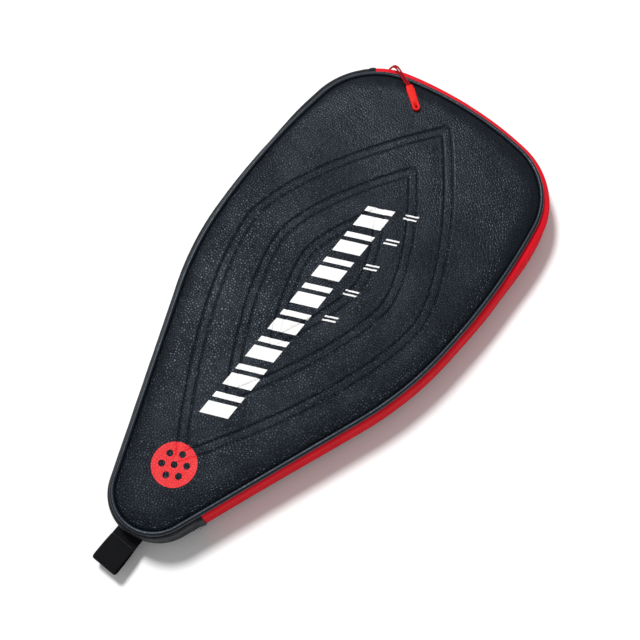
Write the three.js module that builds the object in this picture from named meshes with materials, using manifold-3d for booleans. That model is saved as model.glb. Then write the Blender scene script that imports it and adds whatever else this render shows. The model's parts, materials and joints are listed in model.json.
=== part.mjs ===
// Paddle case: a padded, zipped soft case for one paddle, lying on its back panel.
// Units are millimetres. +Z is up through the front panel, +Y runs to the head end, +X to the zip side.
// Every edge strip is one profile swept along the same outline. A profile point is (n, z):
// n is the distance outside the rim, z is the height above the surface that the case lies on.

import * as THREE from 'three';
import { mergeVertices } from 'three/addons/utils/BufferGeometryUtils.js';
import Module from 'manifold-3d';

const wasm = await Module();
wasm.setup();

const DEG = Math.PI / 180;

// ---- driving dimensions: outline of the rim, from the head centre clockwise to the tail centre
const HEAD = { radius: 290, turn: 11.7, steps: 4 };
const CORNER = { radius: 64, turn: 70.4, steps: 11 };
const SIDE = { radius: 560, turn: 14.3, steps: 4 };
const SHOULDER = { radius: 278, turn: 15.3, steps: 4 };
const TAPER = { length: 139.5, steps: 4 };
const ZIP_END_TO_TAIL = { length: 18, steps: 1 };
const TAIL_STEPS = 7;

// ---- driving dimensions: thickness of the case and its layers
const CASE_THICKNESS = 38;
const MID = CASE_THICKNESS / 2;
const GAP = 0.3;                 // clearance between pieces that touch
const SKIN = 0.9;
const LINING = 0.7;
const PIPING_RADIUS = 2;
const PIPING_TOP = 36.3;
const PANEL_EDGE = -4.4;         // n of the panel's edge, inside the piping
const PANEL_BOTTOM = 32.6;
const CROWN_WIDTH = 14;          // how far in from its edge a panel reaches its full height
const CROWN_HEIGHT = 4.2;
const CROWN_STEPS = 3;
const BINDING = { outer: -4.2, inner: -9, top: 31.3, bottom: 29.9 };

// ---- driving dimensions: side wall
const WALL_BULGE = 4;            // n of the wall's outer face at mid height
const WALL_TUCK = -2.2;          // n of the wall's outer face under the piping
const WALL_HALF = 13;            // half of the wall's height
const WALL_STEPS = 5;
const TAPE_STEPS = 3;
const GUSSET_SKIN = 1.2;
const TAPE = 0.8;
const COIL = { outer: 2.55, inner: 0.8, height: 2.6 };
const NECK_SLOT = 0.9;           // extra room between the tapes where the slider runs

// ---- driving dimensions: fold line of the front panel, from the head to the end of the zip
const FOLD_HEAD_ANGLE = -3.2;    // degrees round the head arc from its centre

// ---- driving dimensions: slider, puller and webbing loop
const SLIDER_ANGLE = 28;         // degrees round the head corner from straight ahead
const SLIDER = { length: 11, width: 9, plate: 1.2, outer: 4.75, inner: 0.2 };
const NECK = { length: 3.5, thickness: 0.6 };
const FLANGE = { clearance: 0.5, thickness: 0.9, reach: 2.1 };
const BRIDGE = { length: 8.4, width: 1.3, bar: 1.2, hole: 2.65, leg: 1.2, round: 1 };
const WELD = 0.5;                // how far the slider's parts run into one another
const CORD_RADIUS = 0.85;
const STRAND_SPACING = 2.1;
const BAR_TURN_RADIUS = 2.05;    // the cord's middle line round the bridge bar
const BAR_SIDE_STEP = 0.85;      // how far the cord shifts each way along the bar as it passes under
const TAB = { length: 25.6, width: 7, thickness: 2.6, hole: 0.9, turn: -66.5, bevel: 0.6 };
const TAB_SHOULDER = 4;          // where the tab reaches its full width
const TAB_NARROWING = { cord: 0.4, tip: 0.3 };
const LOOP = { width: 22, web: 1.4, gap: 5.6, height: 12, root: -228.4, fold: -248.5 };
const LOOP_PART = { start: -5, half: 0.15, ease: 6 };  // where the loop's two layers part
const ANCHOR = { back: -215, front: -226.5, thickness: 3.1 };
const STOP = { length: 2.6, half: 2.4, inner: 0.5, outer: 2.45 };

// ---- outline -------------------------------------------------------------------------------

// Walks from (0, 0) with the heading along +X and turns clockwise; the tail arc closes on the axis.
function walkHalf() {
  const stations = [];
  let x = 0;
  let y = 0;
  let heading = 0;
  const arc = ({ radius, turn, steps }) => {
    const start = heading;
    const cx = x - radius * Math.sin(start);
    const cy = y - radius * Math.cos(start);
    for (let i = 1; i <= steps; i += 1) {
      heading = start + (turn * DEG * i) / steps;
      x = cx + radius * Math.sin(heading);
      y = cy + radius * Math.cos(heading);
      stations.push({ x, y, heading });
    }
  };
  const run = ({ length, steps }) => {
    for (let i = 1; i <= steps; i += 1) {
      x += (length / steps) * Math.cos(heading);
      y -= (length / steps) * Math.sin(heading);
      stations.push({ x, y, heading });
    }
  };
  stations.push({ x, y, heading });
  arc(HEAD);
  arc(CORNER);
  arc(SIDE);
  arc(SHOULDER);
  run(TAPER);
  run(ZIP_END_TO_TAIL);
  arc({ radius: x / Math.sin(heading), turn: 180 - heading / DEG, steps: TAIL_STEPS });
  return stations;
}

// The closed rim, clockwise from the tail centre up the left side; y is centred on the rim's length.
function makeLoop() {
  const half = walkHalf();
  const last = half.length - 1;
  const middle = half[last].y / 2;
  const right = half.map((s) => ({ x: s.x, y: s.y - middle, heading: s.heading }));
  const left = right.map((s) => ({ x: -s.x, y: s.y, heading: -s.heading }));
  return [...left.slice(1, last + 1).reverse(), ...right.slice(0, last)];
}

const LOOP_STATIONS = makeLoop();
const COUNT = LOOP_STATIONS.length;
const HEAD_STATION = COUNT / 2;
const CORNER_START = HEAD_STATION - HEAD.steps;
const ZIP_START = CORNER_START - 4;
const ZIP_END = COUNT - TAIL_STEPS - ZIP_END_TO_TAIL.steps;

// Stations from one index to a later one, wrapping past the tail centre.
function stretch(from, to) {
  const list = [];
  for (let i = from; i <= to; i += 1) list.push(LOOP_STATIONS[i % COUNT]);
  return list;
}

// Moves a stretch's two ends inward along the rim by a small distance.
function trimEnds(list, distance) {
  const nudge = (s, d) => ({ ...s, x: s.x + d * Math.cos(s.heading), y: s.y - d * Math.sin(s.heading) });
  const last = list.length - 1;
  return list.map((s, i) => {
    if (i === 0) return nudge(s, distance);
    return i === last ? nudge(s, -distance) : s;
  });
}

function offsetPoint(s, n) {
  return new THREE.Vector2(s.x + n * Math.sin(s.heading), s.y + n * Math.cos(s.heading));
}

// The rim moved out by n, without the stations that lie inside its straight runs.
function rimShape(n) {
  const turns = LOOP_STATIONS.filter((s, i) => {
    const before = LOOP_STATIONS[(i + COUNT - 1) % COUNT].heading;
    const after = LOOP_STATIONS[(i + 1) % COUNT].heading;
    return Math.abs(after - before) > 1e-6;
  });
  return new THREE.Shape(turns.map((s) => offsetPoint(s, n)).reverse());
}

// ---- solids --------------------------------------------------------------------------------

class RimPath extends THREE.Curve {
  constructor(stations) {
    super();
    this.stations = stations;
  }

  locate(u) {
    const span = u * (this.stations.length - 1);
    const i = Math.min(Math.floor(span + 1e-9), this.stations.length - 2);
    return [this.stations[i], this.stations[i + 1], span - i];
  }

  getPoint(u, target = new THREE.Vector3()) {
    const [a, b, f] = this.locate(u);
    return target.set(a.x + (b.x - a.x) * f, a.y + (b.y - a.y) * f, 0);
  }

  getPointAt(u, target) {
    return this.getPoint(u, target);
  }

  getTangentAt(u, target = new THREE.Vector3()) {
    const [a, b, f] = this.locate(u);
    const heading = a.heading + (b.heading - a.heading) * f;
    return target.set(Math.cos(heading), -Math.sin(heading), 0);
  }
}

// Headings jump by a full turn at the tail centre, so a stretch's headings are made continuous.
function unwrap(stations) {
  let previous = stations[0].heading;
  return stations.map((s) => {
    let heading = s.heading;
    while (heading < previous - Math.PI) heading += 2 * Math.PI;
    while (heading > previous + Math.PI) heading -= 2 * Math.PI;
    previous = heading;
    return { ...s, heading };
  });
}

// Sweeps a closed (n, z) profile along a stretch of the rim.
function sweep(profile, stations) {
  const shape = new THREE.Shape(profile.map(([n, z]) => new THREE.Vector2(-z, n)));
  const path = new RimPath(unwrap(stations));
  return new THREE.ExtrudeGeometry(shape, { steps: stations.length - 1, extrudePath: path });
}

function toSolid(geometry) {
  const bare = geometry.clone();
  bare.deleteAttribute('normal');
  bare.deleteAttribute('uv');
  const merged = mergeVertices(bare, 1e-4);
  return new wasm.Manifold(new wasm.Mesh({
    numProp: 3,
    vertProperties: Float32Array.from(merged.attributes.position.array),
    triVerts: Uint32Array.from(merged.index.array),
  }));
}

function toGeometry(solid) {
  const mesh = solid.getMesh();
  const geometry = new THREE.BufferGeometry();
  geometry.setAttribute('position', new THREE.BufferAttribute(mesh.vertProperties, 3));
  geometry.setIndex(new THREE.BufferAttribute(mesh.triVerts, 1));
  geometry.computeVertexNormals();
  return geometry;
}

function box(x0, x1, y0, y1, z0, z1) {
  const geometry = new THREE.BoxGeometry(x1 - x0, y1 - y0, z1 - z0);
  return geometry.translate((x0 + x1) / 2, (y0 + y1) / 2, (z0 + z1) / 2);
}

// ---- fold line -----------------------------------------------------------------------------

const HEAD_TOP = LOOP_STATIONS[HEAD_STATION].y;
const FOLD_HEAD = new THREE.Vector2(
  HEAD.radius * Math.sin(FOLD_HEAD_ANGLE * DEG),
  HEAD_TOP - HEAD.radius * (1 - Math.cos(FOLD_HEAD_ANGLE * DEG)),
);
const FOLD_TAIL = offsetPoint(LOOP_STATIONS[ZIP_END], WALL_BULGE);
const FOLD_ALONG = FOLD_TAIL.clone().sub(FOLD_HEAD).normalize();
const FOLD_ACROSS = new THREE.Vector2(-FOLD_ALONG.y, FOLD_ALONG.x);
const BEYOND = 400;              // larger than the case, for the cutting blocks

// A block on one side of the fold line: side +1 is the flap, side -1 the spine side.
function sideBlock(side, z0, z1) {
  const near = FOLD_HEAD.clone().addScaledVector(FOLD_ACROSS, (side * GAP) / 2);
  const ends = [-BEYOND, 2 * BEYOND].map((d) => near.clone().addScaledVector(FOLD_ALONG, d));
  const far = ends.map((p) => p.clone().addScaledVector(FOLD_ACROSS, side * BEYOND));
  const shape = new THREE.Shape([ends[0], ends[1], far[1], far[0]]);
  const geometry = new THREE.ExtrudeGeometry(shape, { depth: z1 - z0, bevelEnabled: false });
  return toSolid(geometry.translate(0, 0, z0));
}

function cutToSide(geometry, side) {
  return toGeometry(toSolid(geometry).intersect(sideBlock(side, -1, CASE_THICKNESS + 1)));
}

// ---- panels --------------------------------------------------------------------------------

// A crowned plate: flat on top, rounded down to a straight edge at n = edge. It reaches below its
// bottom height, where it is cut off level afterwards.
function crownedPlate(edge, bottom, top) {
  const spare = 2;
  const geometry = new THREE.ExtrudeGeometry(rimShape(edge - CROWN_WIDTH), {
    depth: top - CROWN_HEIGHT - bottom + spare,
    bevelSize: CROWN_WIDTH,
    bevelThickness: CROWN_HEIGHT,
    bevelSegments: CROWN_STEPS,
  });
  return toSolid(geometry.translate(0, 0, bottom - spare));
}

function slab(z0, z1) {
  return toSolid(box(-BEYOND, BEYOND, -BEYOND, BEYOND, z0, z1));
}

function panelSkin() {
  const outer = crownedPlate(PANEL_EDGE, PANEL_BOTTOM, CASE_THICKNESS);
  const inner = crownedPlate(PANEL_EDGE - SKIN, PANEL_BOTTOM, CASE_THICKNESS - SKIN);
  return outer.subtract(inner).intersect(slab(PANEL_BOTTOM, CASE_THICKNESS + 1));
}

function panelFoam() {
  const inset = SKIN + GAP;
  const plate = crownedPlate(PANEL_EDGE - inset, PANEL_BOTTOM, CASE_THICKNESS - inset);
  return plate.intersect(slab(PANEL_BOTTOM, CASE_THICKNESS));
}

function panelLining() {
  const shape = rimShape(PANEL_EDGE - 1);
  const geometry = new THREE.ExtrudeGeometry(shape, { depth: LINING, bevelEnabled: false });
  return toSolid(geometry.translate(0, 0, PANEL_BOTTOM - GAP - LINING));
}

// ---- edge strips ---------------------------------------------------------------------------

function pipingProfile() {
  const points = [];
  const sides = 8;
  for (let i = 0; i < sides; i += 1) {
    const a = ((i + 0.5) / sides) * 2 * Math.PI;
    const radius = PIPING_RADIUS / Math.cos(Math.PI / sides);
    points.push([radius * Math.cos(a) - PIPING_RADIUS, radius * Math.sin(a) + PIPING_TOP - PIPING_RADIUS]);
  }
  return points;
}

function bindingProfile() {
  const { outer, inner, top, bottom } = BINDING;
  return [[inner, bottom], [outer, bottom], [outer, top], [inner, top]];
}

function wallFace(z) {
  return WALL_TUCK + (WALL_BULGE - WALL_TUCK) * (1 - ((z - MID) / WALL_HALF) ** 2);
}

// A curved strip that follows the wall's face between two heights.
function wallProfile(depth, thickness, z0, z1, steps) {
  const heights = Array.from({ length: steps + 1 }, (unused, i) => z0 + ((z1 - z0) * i) / steps);
  const outer = heights.map((z) => [wallFace(z) - depth, z]);
  const inner = heights.map((z) => [wallFace(z) - depth - thickness, z]).reverse();
  return [...outer, ...inner];
}

function coilProfile(z0, z1) {
  return [[COIL.inner, z0], [COIL.outer, z0], [COIL.outer, z1], [COIL.inner, z1]];
}

// Turns a front piece over about the case's mid plane to make its partner at the back.
function turnedOver(geometry) {
  return geometry.rotateY(Math.PI).translate(0, 0, CASE_THICKNESS);
}

// ---- small parts ---------------------------------------------------------------------------

function union(pieces) {
  return toGeometry(pieces.map(toSolid).reduce((sum, piece) => sum.add(piece)));
}

// Local axes: X along the zip, Y outward, Z up. The neck joins the two plates between the tapes.
function sliderBody() {
  const { length, width, plate, outer, inner } = SLIDER;
  const half = length / 2;
  const neckLow = MID + GAP / 2;
  const near = COIL.height + FLANGE.clearance;
  const far = near + FLANGE.thickness;
  const pieces = [
    box(-half, half, outer, outer + plate, MID - width / 2, MID + width / 2),
    box(-half, half, inner - plate, inner, MID - width / 2, MID + width / 2),
    box(-half, NECK.length - half, inner - WELD, outer + WELD, neckLow, neckLow + NECK.thickness),
    box(-half, half, inner - WELD, FLANGE.reach, MID + near, MID + far),
    box(-half, half, inner - WELD, FLANGE.reach, MID - far, MID - near),
    bridge(outer + plate),
  ];
  return union(pieces);
}

// The bridge is an arch along the zip; the cord passes under its bar.
function bridge(base) {
  const { length, width, bar, hole, leg, round } = BRIDGE;
  const half = length / 2;
  const shoulder = hole + bar - round;
  const shape = new THREE.Shape();
  shape.moveTo(-half, -WELD);
  shape.lineTo(-half, shoulder);
  shape.absarc(-half + round, shoulder, round, Math.PI, Math.PI / 2, true);
  shape.absarc(half - round, shoulder, round, Math.PI / 2, 0, true);
  shape.lineTo(half, -WELD);
  shape.lineTo(half - leg, -WELD);
  shape.lineTo(half - leg, hole);
  shape.lineTo(-half + leg, hole);
  shape.lineTo(-half + leg, -WELD);
  const geometry = new THREE.ExtrudeGeometry(shape, { depth: width, bevelEnabled: false, curveSegments: 3 });
  return geometry.translate(0, base, MID - width / 2);
}

// Middle lines of the cord's two strands in the slider's axes, from the bridge bar towards the tab.
const OUTER_STRAND = [
  [1, 11.3, 20],
  [3.2, 10.9, 25],
  [6.2, 8.8, 31.5],
  [10.2, 3.6, 37.1],
  [14.6, -2.9, 38.2],
  [18.9, -9.2, 38.9],
];
const INNER_STRAND = [
  [-1, 7.1, 20],
  [1.3, 8, 25],
  [4.4, 7.4, 31.5],
  [8.3, 2.8, 37.1],
  [12.7, -3.8, 38.2],
  [17, -10, 38.9],
];
const TAB_START = new THREE.Vector3(21.6, -14.6, 39.7);

// One captive loop: down the outer strand, under the bridge bar, up the inner strand.
function pullCord() {
  const barY = SLIDER.outer + SLIDER.plate + BRIDGE.hole + BRIDGE.bar / 2;
  const turn = TAB.turn * DEG;
  const strandEnd = (sign) => {
    const local = new THREE.Vector3(-GAP, (sign * STRAND_SPACING) / 2, 0);
    return local.applyAxisAngle(new THREE.Vector3(0, 0, 1), turn).add(TAB_START);
  };
  const underBar = [-20, -55, -90, -125, -160].map((a) => new THREE.Vector3(
    BAR_SIDE_STEP * Math.cos(a * DEG),
    barY + BAR_TURN_RADIUS * Math.cos(a * DEG),
    MID + BAR_TURN_RADIUS * Math.sin(a * DEG),
  ));
  const outer = OUTER_STRAND.map((p) => new THREE.Vector3(...p)).reverse();
  const inner = INNER_STRAND.map((p) => new THREE.Vector3(...p));
  const route = [strandEnd(1), ...outer, ...underBar, ...inner, strandEnd(-1)];
  const curve = new THREE.CatmullRomCurve3(route, false, 'centripetal');
  const section = new THREE.Shape();
  section.absarc(0, 0, CORD_RADIUS, 0, 2 * Math.PI);
  return new THREE.ExtrudeGeometry(section, { steps: 60, extrudePath: curve, curveSegments: 8 });
}

// A moulded tab with rounded ends and a small hole near its tip, along +X from its cord end.
function pullTab() {
  const { length, width, thickness, hole, bevel } = TAB;
  const half = width / 2 - bevel;
  const cordHalf = half - TAB_NARROWING.cord;
  const tipHalf = half - TAB_NARROWING.tip;
  const tipCentre = length - bevel - half;
  const shape = new THREE.Shape();
  shape.moveTo(bevel, -cordHalf);
  shape.lineTo(TAB_SHOULDER, -half);
  shape.lineTo(tipCentre, -tipHalf);
  shape.absarc(tipCentre, 0, tipHalf, -Math.PI / 2, Math.PI / 2, false);
  shape.lineTo(TAB_SHOULDER, half);
  shape.lineTo(bevel, cordHalf);
  const eye = new THREE.Path();
  eye.absarc(tipCentre, 0, hole, 0, 2 * Math.PI, true);
  shape.holes.push(eye);
  const geometry = new THREE.ExtrudeGeometry(shape, {
    depth: thickness - 2 * bevel, bevelSize: bevel, bevelThickness: bevel, bevelSegments: 2, curveSegments: 8,
  });
  return geometry.translate(0, 0, -thickness / 2 + bevel);
}

// Side view of the loop in (y, z) about its seam: two layers that part and meet in a fold at the tip.
function webbingLoop() {
  const { width, web, gap, root, fold } = LOOP;
  const reach = fold - root;
  const outer = gap / 2 + web;
  const pinch = ANCHOR.thickness / 2;
  const contour = (radius, start, startHalf) => {
    const path = new THREE.Path();
    const ease = start - LOOP_PART.ease;
    path.moveTo(start, startHalf);
    path.quadraticCurveTo(ease, radius, reach, radius);
    path.absarc(reach, 0, radius, Math.PI / 2, 1.5 * Math.PI, false);
    path.quadraticCurveTo(ease, -radius, start, -startHalf);
    return path;
  };
  const shape = new THREE.Shape();
  shape.curves = contour(outer, 0, pinch).curves;
  shape.absarc(0, 0, pinch, -Math.PI / 2, Math.PI / 2, false);
  const hole = contour(gap / 2, LOOP_PART.start, LOOP_PART.half);
  hole.closePath();
  shape.holes.push(hole);
  const geometry = new THREE.ExtrudeGeometry(shape, { depth: width, bevelEnabled: false, curveSegments: 6 });
  return geometry.translate(0, 0, -width / 2);
}

// ---- assembly ------------------------------------------------------------------------------

const LEATHER = { color: 0x22262c, roughness: 0.55, metalness: 0 };
const PIPING = { color: 0x2b3036, roughness: 0.45, metalness: 0 };
const FOAM = { color: 0x3a3a3a, roughness: 0.9, metalness: 0 };
const FABRIC = { color: 0x1b1c1f, roughness: 0.95, metalness: 0 };
const RED_TAPE = { color: 0xd8142a, roughness: 0.85, metalness: 0 };
const RED_COIL = { color: 0xc01226, roughness: 0.5, metalness: 0 };
const RED_RUBBER = { color: 0xe6261f, roughness: 0.5, metalness: 0 };
const RED_CORD = { color: 0xc41a2c, roughness: 0.8, metalness: 0 };
const BLACK_METAL = { color: 0x17181a, roughness: 0.4, metalness: 0.7 };
const WEBBING = { color: 0x101216, roughness: 0.9, metalness: 0 };

const group = new THREE.Group();
const caseGroup = new THREE.Group();
const LOOP_TIP = LOOP.fold - LOOP.gap / 2 - LOOP.web;
caseGroup.position.y = -(HEAD_TOP + WALL_BULGE + LOOP_TIP) / 2;  // the origin is under the middle
group.add(caseGroup);

function add(name, geometry, look, parent = caseGroup) {
  const mesh = new THREE.Mesh(geometry, new THREE.MeshStandardMaterial(look));
  mesh.name = name;
  parent.add(mesh);
  return mesh;
}

// A whole front piece becomes two nodes that part along the fold line.
function addFolded(name, geometry, look) {
  add(`${name}_spine`, cutToSide(geometry, -1), look);
  add(`${name}_flap`, cutToSide(geometry, 1), look);
}

function addFrontPanel() {
  addFolded('front_skin', toGeometry(panelSkin()), LEATHER);
  addFolded('front_foam', toGeometry(panelFoam()), FOAM);
  addFolded('front_lining', toGeometry(panelLining()), FABRIC);
}

// The rim strips are swept a little past the fold line on each side and then cut to it.
function addFrontRim() {
  const flap = stretch(HEAD_STATION - 2, ZIP_END + 2);
  const spine = stretch(ZIP_END - 1, COUNT + HEAD_STATION + 1);
  const strips = [['front_piping', pipingProfile(), PIPING], ['front_binding', bindingProfile(), FABRIC]];
  for (const [name, profile, look] of strips) {
    add(`${name}_spine`, cutToSide(sweep(profile, spine), -1), look);
    add(`${name}_flap`, cutToSide(sweep(profile, flap), 1), look);
  }
}

function addBack() {
  const around = trimEnds(stretch(0, COUNT), GAP / 2);
  add('back_skin', turnedOver(toGeometry(panelSkin())), LEATHER);
  add('back_foam', turnedOver(toGeometry(panelFoam())), FOAM);
  add('back_lining', turnedOver(toGeometry(panelLining())), FABRIC);
  add('back_piping', turnedOver(sweep(pipingProfile(), around)), PIPING);
  add('back_binding', turnedOver(sweep(bindingProfile(), around)), FABRIC);
}

// The plain wall runs from the zip's end round the tail and up the spine side to the zip's start.
function addGusset() {
  const run = trimEnds(stretch(ZIP_END, COUNT + ZIP_START), GAP / 2);
  const low = MID - WALL_HALF;
  const high = MID + WALL_HALF;
  const half = LOOP.width / 2 + GAP;
  const slotHalf = ANCHOR.thickness / 2 + GAP;
  const [slotLow, slotHigh] = [LOOP.height - slotHalf, LOOP.height + slotHalf];
  const slot = box(-half, half, ANCHOR.front, ANCHOR.back, slotLow, slotHigh);
  const layers = [
    ['gusset_skin', wallProfile(0, GUSSET_SKIN, low, high, WALL_STEPS), LEATHER],
    ['gusset_lining', wallProfile(GUSSET_SKIN + GAP, LINING, low, high, WALL_STEPS), FABRIC],
  ];
  for (const [name, profile, look] of layers) {
    add(name, toGeometry(toSolid(sweep(profile, run)).subtract(toSolid(slot))), look);
  }
}

function addZip() {
  const high = MID + WALL_HALF;
  const low = MID - WALL_HALF;
  const part = GAP / 2;
  const whole = trimEnds(stretch(ZIP_START, ZIP_END), part);
  const coilRun = stretch(ZIP_START + 1, ZIP_END - 1);
  const headRun = trimEnds(stretch(ZIP_START, HEAD_STATION + 1), part);
  const tailRun = trimEnds(stretch(ZIP_END - 1, ZIP_END), part);
  const frontTape = wallProfile(0, TAPE, MID + part, high, TAPE_STEPS);
  const headTape = wallProfile(0, TAPE, MID + part + NECK_SLOT, high, TAPE_STEPS);
  add('back_zip_tape', sweep(wallProfile(0, TAPE, low, MID - part, TAPE_STEPS), whole), RED_TAPE);
  add('back_zip_coil', sweep(coilProfile(MID - COIL.height, MID - part), coilRun), RED_COIL);
  add('front_zip_tape_flap', cutToSide(sweep(frontTape, whole), 1), RED_TAPE);
  add('front_zip_tape_head_end', cutToSide(sweep(headTape, headRun), -1), RED_TAPE);
  add('front_zip_tape_tail_end', cutToSide(sweep(frontTape, tailRun), -1), RED_TAPE);
  const frontCoil = coilProfile(MID + part, MID + COIL.height);
  const headCoil = coilProfile(MID + part + NECK_SLOT, MID + COIL.height);
  const headCoilRun = stretch(ZIP_START + 1, HEAD_STATION + 1);
  add('front_zip_coil_flap', cutToSide(sweep(frontCoil, coilRun), 1), RED_COIL);
  add('front_zip_coil_head_end', cutToSide(sweep(headCoil, headCoilRun), -1), RED_COIL);
}

// Metal stops close the coil at both ends of the track.
function addStops() {
  const { length, half, inner, outer } = STOP;
  const place = (name, index, along, top) => {
    const s = LOOP_STATIONS[index];
    const holder = new THREE.Group();
    holder.position.set(s.x, s.y, 0);
    holder.rotation.z = -s.heading;
    caseGroup.add(holder);
    add(name, box(along, along + length, inner, outer, MID - half, top), BLACK_METAL, holder);
  };
  place('zip_start_stop', ZIP_START, length / 2, MID + half);
  place('zip_end_stop', ZIP_END, -2 * length, MID - GAP / 2);
}

function addSlider() {
  const radius = CORNER.radius;
  const junction = LOOP_STATIONS[CORNER_START];
  const centreX = junction.x + radius * Math.sin(HEAD.turn * DEG);
  const centreY = junction.y - radius * Math.cos(HEAD.turn * DEG);
  const slider = new THREE.Group();
  const angle = SLIDER_ANGLE * DEG;
  slider.position.set(centreX - radius * Math.sin(angle), centreY + radius * Math.cos(angle), 0);
  slider.rotation.z = angle;
  caseGroup.add(slider);
  add('zip_slider', sliderBody(), BLACK_METAL, slider);
  add('pull_cord', pullCord(), RED_CORD, slider);
  const tab = add('pull_tab', pullTab(), RED_RUBBER, slider);
  tab.position.copy(TAB_START);
  tab.rotation.z = TAB.turn * DEG;
}

function addLoop() {
  const half = LOOP.width / 2;
  const { back, front, thickness } = ANCHOR;
  const low = LOOP.height - thickness / 2;
  add('loop_anchor', box(-half, half, front, back, low, low + thickness), WEBBING);
  const loop = add('webbing_loop', webbingLoop(), WEBBING);
  const sideways = new THREE.Matrix4().makeBasis(
    new THREE.Vector3(0, 1, 0), new THREE.Vector3(0, 0, 1), new THREE.Vector3(1, 0, 0),
  );
  loop.quaternion.setFromRotationMatrix(sideways);
  loop.position.set(0, LOOP.root, LOOP.height);
}

addFrontPanel();
addFrontRim();
addBack();
addGusset();
addZip();
addStops();
addSlider();
addLoop();

export default group;
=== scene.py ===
"""The looks of a padded paddle case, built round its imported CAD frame. Metres, row frame.

Strips and walls are profiles of (n, z) points swept along the rim: n is the distance outside the
piping's outer edge, z is the height. Panels are height fields inside the rim.
"""

import json
import math

import bmesh
import bpy
import numpy as np
from mathutils import Matrix, Vector, geometry, kdtree, noise


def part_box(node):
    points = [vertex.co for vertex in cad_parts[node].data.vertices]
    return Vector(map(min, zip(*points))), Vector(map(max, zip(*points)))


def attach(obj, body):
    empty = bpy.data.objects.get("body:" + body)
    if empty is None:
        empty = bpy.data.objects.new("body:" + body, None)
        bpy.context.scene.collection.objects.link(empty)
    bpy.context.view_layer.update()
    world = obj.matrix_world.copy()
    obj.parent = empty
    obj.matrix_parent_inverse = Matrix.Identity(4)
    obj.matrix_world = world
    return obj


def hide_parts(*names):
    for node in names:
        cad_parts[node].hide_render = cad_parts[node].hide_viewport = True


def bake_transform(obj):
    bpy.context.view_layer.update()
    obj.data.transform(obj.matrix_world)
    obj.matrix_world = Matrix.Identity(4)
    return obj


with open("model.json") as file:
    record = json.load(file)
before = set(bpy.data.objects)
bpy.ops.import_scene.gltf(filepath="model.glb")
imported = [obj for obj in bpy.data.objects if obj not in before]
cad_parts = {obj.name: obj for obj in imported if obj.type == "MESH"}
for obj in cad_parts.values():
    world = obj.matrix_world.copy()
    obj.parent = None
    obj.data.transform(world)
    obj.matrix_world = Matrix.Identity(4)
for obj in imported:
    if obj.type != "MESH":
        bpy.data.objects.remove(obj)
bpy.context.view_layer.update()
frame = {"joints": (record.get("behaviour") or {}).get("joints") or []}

MM = 0.001


def span(node, axis):
    """The lowest and highest value of a CAD node's box along one axis."""
    return (getattr(corner, axis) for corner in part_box(node))


# ---- heights and places read from the frame
JOINTS = {joint["name"]: joint for joint in frame["joints"]}
PANEL_BOTTOM, TOP = span("front_skin_spine", "z")
MID = TOP / 2
SEAM_BOTTOM, PIPING_TOP = span("front_piping_spine", "z")
PIPING_RADIUS = (PIPING_TOP - SEAM_BOTTOM) / 2
LINING_BOTTOM, LINING_TOP = span("front_lining_spine", "z")
BINDING_BOTTOM, BINDING_TOP = span("front_binding_spine", "z")
WALL_TOP = max(span("gusset_skin", "z"))
CENTRE_Y = sum(span("back_piping", "y")) / 2
LOOP_HEIGHT = sum(span("loop_anchor", "z")) / 2
ANCHOR_END = max(span("loop_anchor", "y"))
LOOP_TIP = min(span("webbing_loop", "y"))
LOOP_LEFT, LOOP_RIGHT = span("webbing_loop", "x")
LOOP_HALF_WIDTH = (LOOP_RIGHT - LOOP_LEFT) / 2

# ---- the rim: arcs from the head centre clockwise, as (radius, turn in degrees), then a straight
ARCS = [(290 * MM, 11.7), (64 * MM, 70.4), (560 * MM, 14.3), (278 * MM, 15.8)]
TAPER = 157.4 * MM
ZIP_END_BEFORE_TAIL_ARC = 18 * MM
ZIP_START_HEADING = -37.3
SLIDER_HEADING = -28
RIM_STEP = 0.5 * MM

# ---- layers and edges, as n or thickness
PANEL_EDGE = -4.4 * MM
CROWN_WIDTH = 15 * MM
CROWN_HEIGHT = 4.2 * MM
SHOULDER = TOP - CROWN_HEIGHT    # the height of a panel's edge, where its crown starts
LEATHER = 0.9 * MM
PIPING_IN = 0.6 * MM             # how far the piping is squeezed in against the panel
WALL_BULGE = 4 * MM
WALL_TUCK = -1.8 * MM
WALL_RISE = 0.5 * MM             # how far its edges reach up behind the piping
WALL_PUFF = 1 * MM               # how much fuller the wall is above and below its middle
WALL_BOXINESS = 7                # how square the wall's section is: 2 would be a parabola
WALL_HIGH = WALL_TOP + WALL_RISE
WALL_LOW = TOP - WALL_HIGH
WALL_LEATHER = 1.2 * MM
FOLD_LIFT = 0.6 * MM             # how far the folds over the zip's ends stand out from the wall
TAPE = 0.8 * MM
SLIT = 0.15 * MM                 # half of the gap between the two zip tapes

# ---- where the soft wall swells or sinks: (mm from the head centre, mm outward) on each side
ZIP_SIDE_SWELL = [
    (0, 1.3), (90, 0.6), (150, 2.0), (205, -0.8), (260, -2.0),
    (350, -2.8), (450, -3.4), (510, -3.2), (600, -1.8),
]
SPINE_SIDE_SWELL = [(0, 1.5), (78, 2.8), (150, 1.2), (205, -0.9), (290, -0.3), (380, -1.6), (600, -1.8)]

# ---- the embossed channels of the front: nested leaves about the long axis
LEAVES = [(25, 62, 76), (52, 108, 130), (82, 156, 190)]      # half width, reach up, reach down
LEAF_CENTRE = CENTRE_Y + 34 * MM
LEAF_POWER = 1.55                # 1 makes the flanks straight, 2 makes them parabolas
LEAF_STEP = 0.25 * MM
CREASE_AT = 3.4 * MM             # from a channel's middle line to each of its two creases
CREASE_WIDTH = 0.55 * MM
CREASE_DEPTH = 0.62 * MM
BAND_DEPTH = 0.22 * MM


# ---- the rim ------------------------------------------------------------------------------


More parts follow.
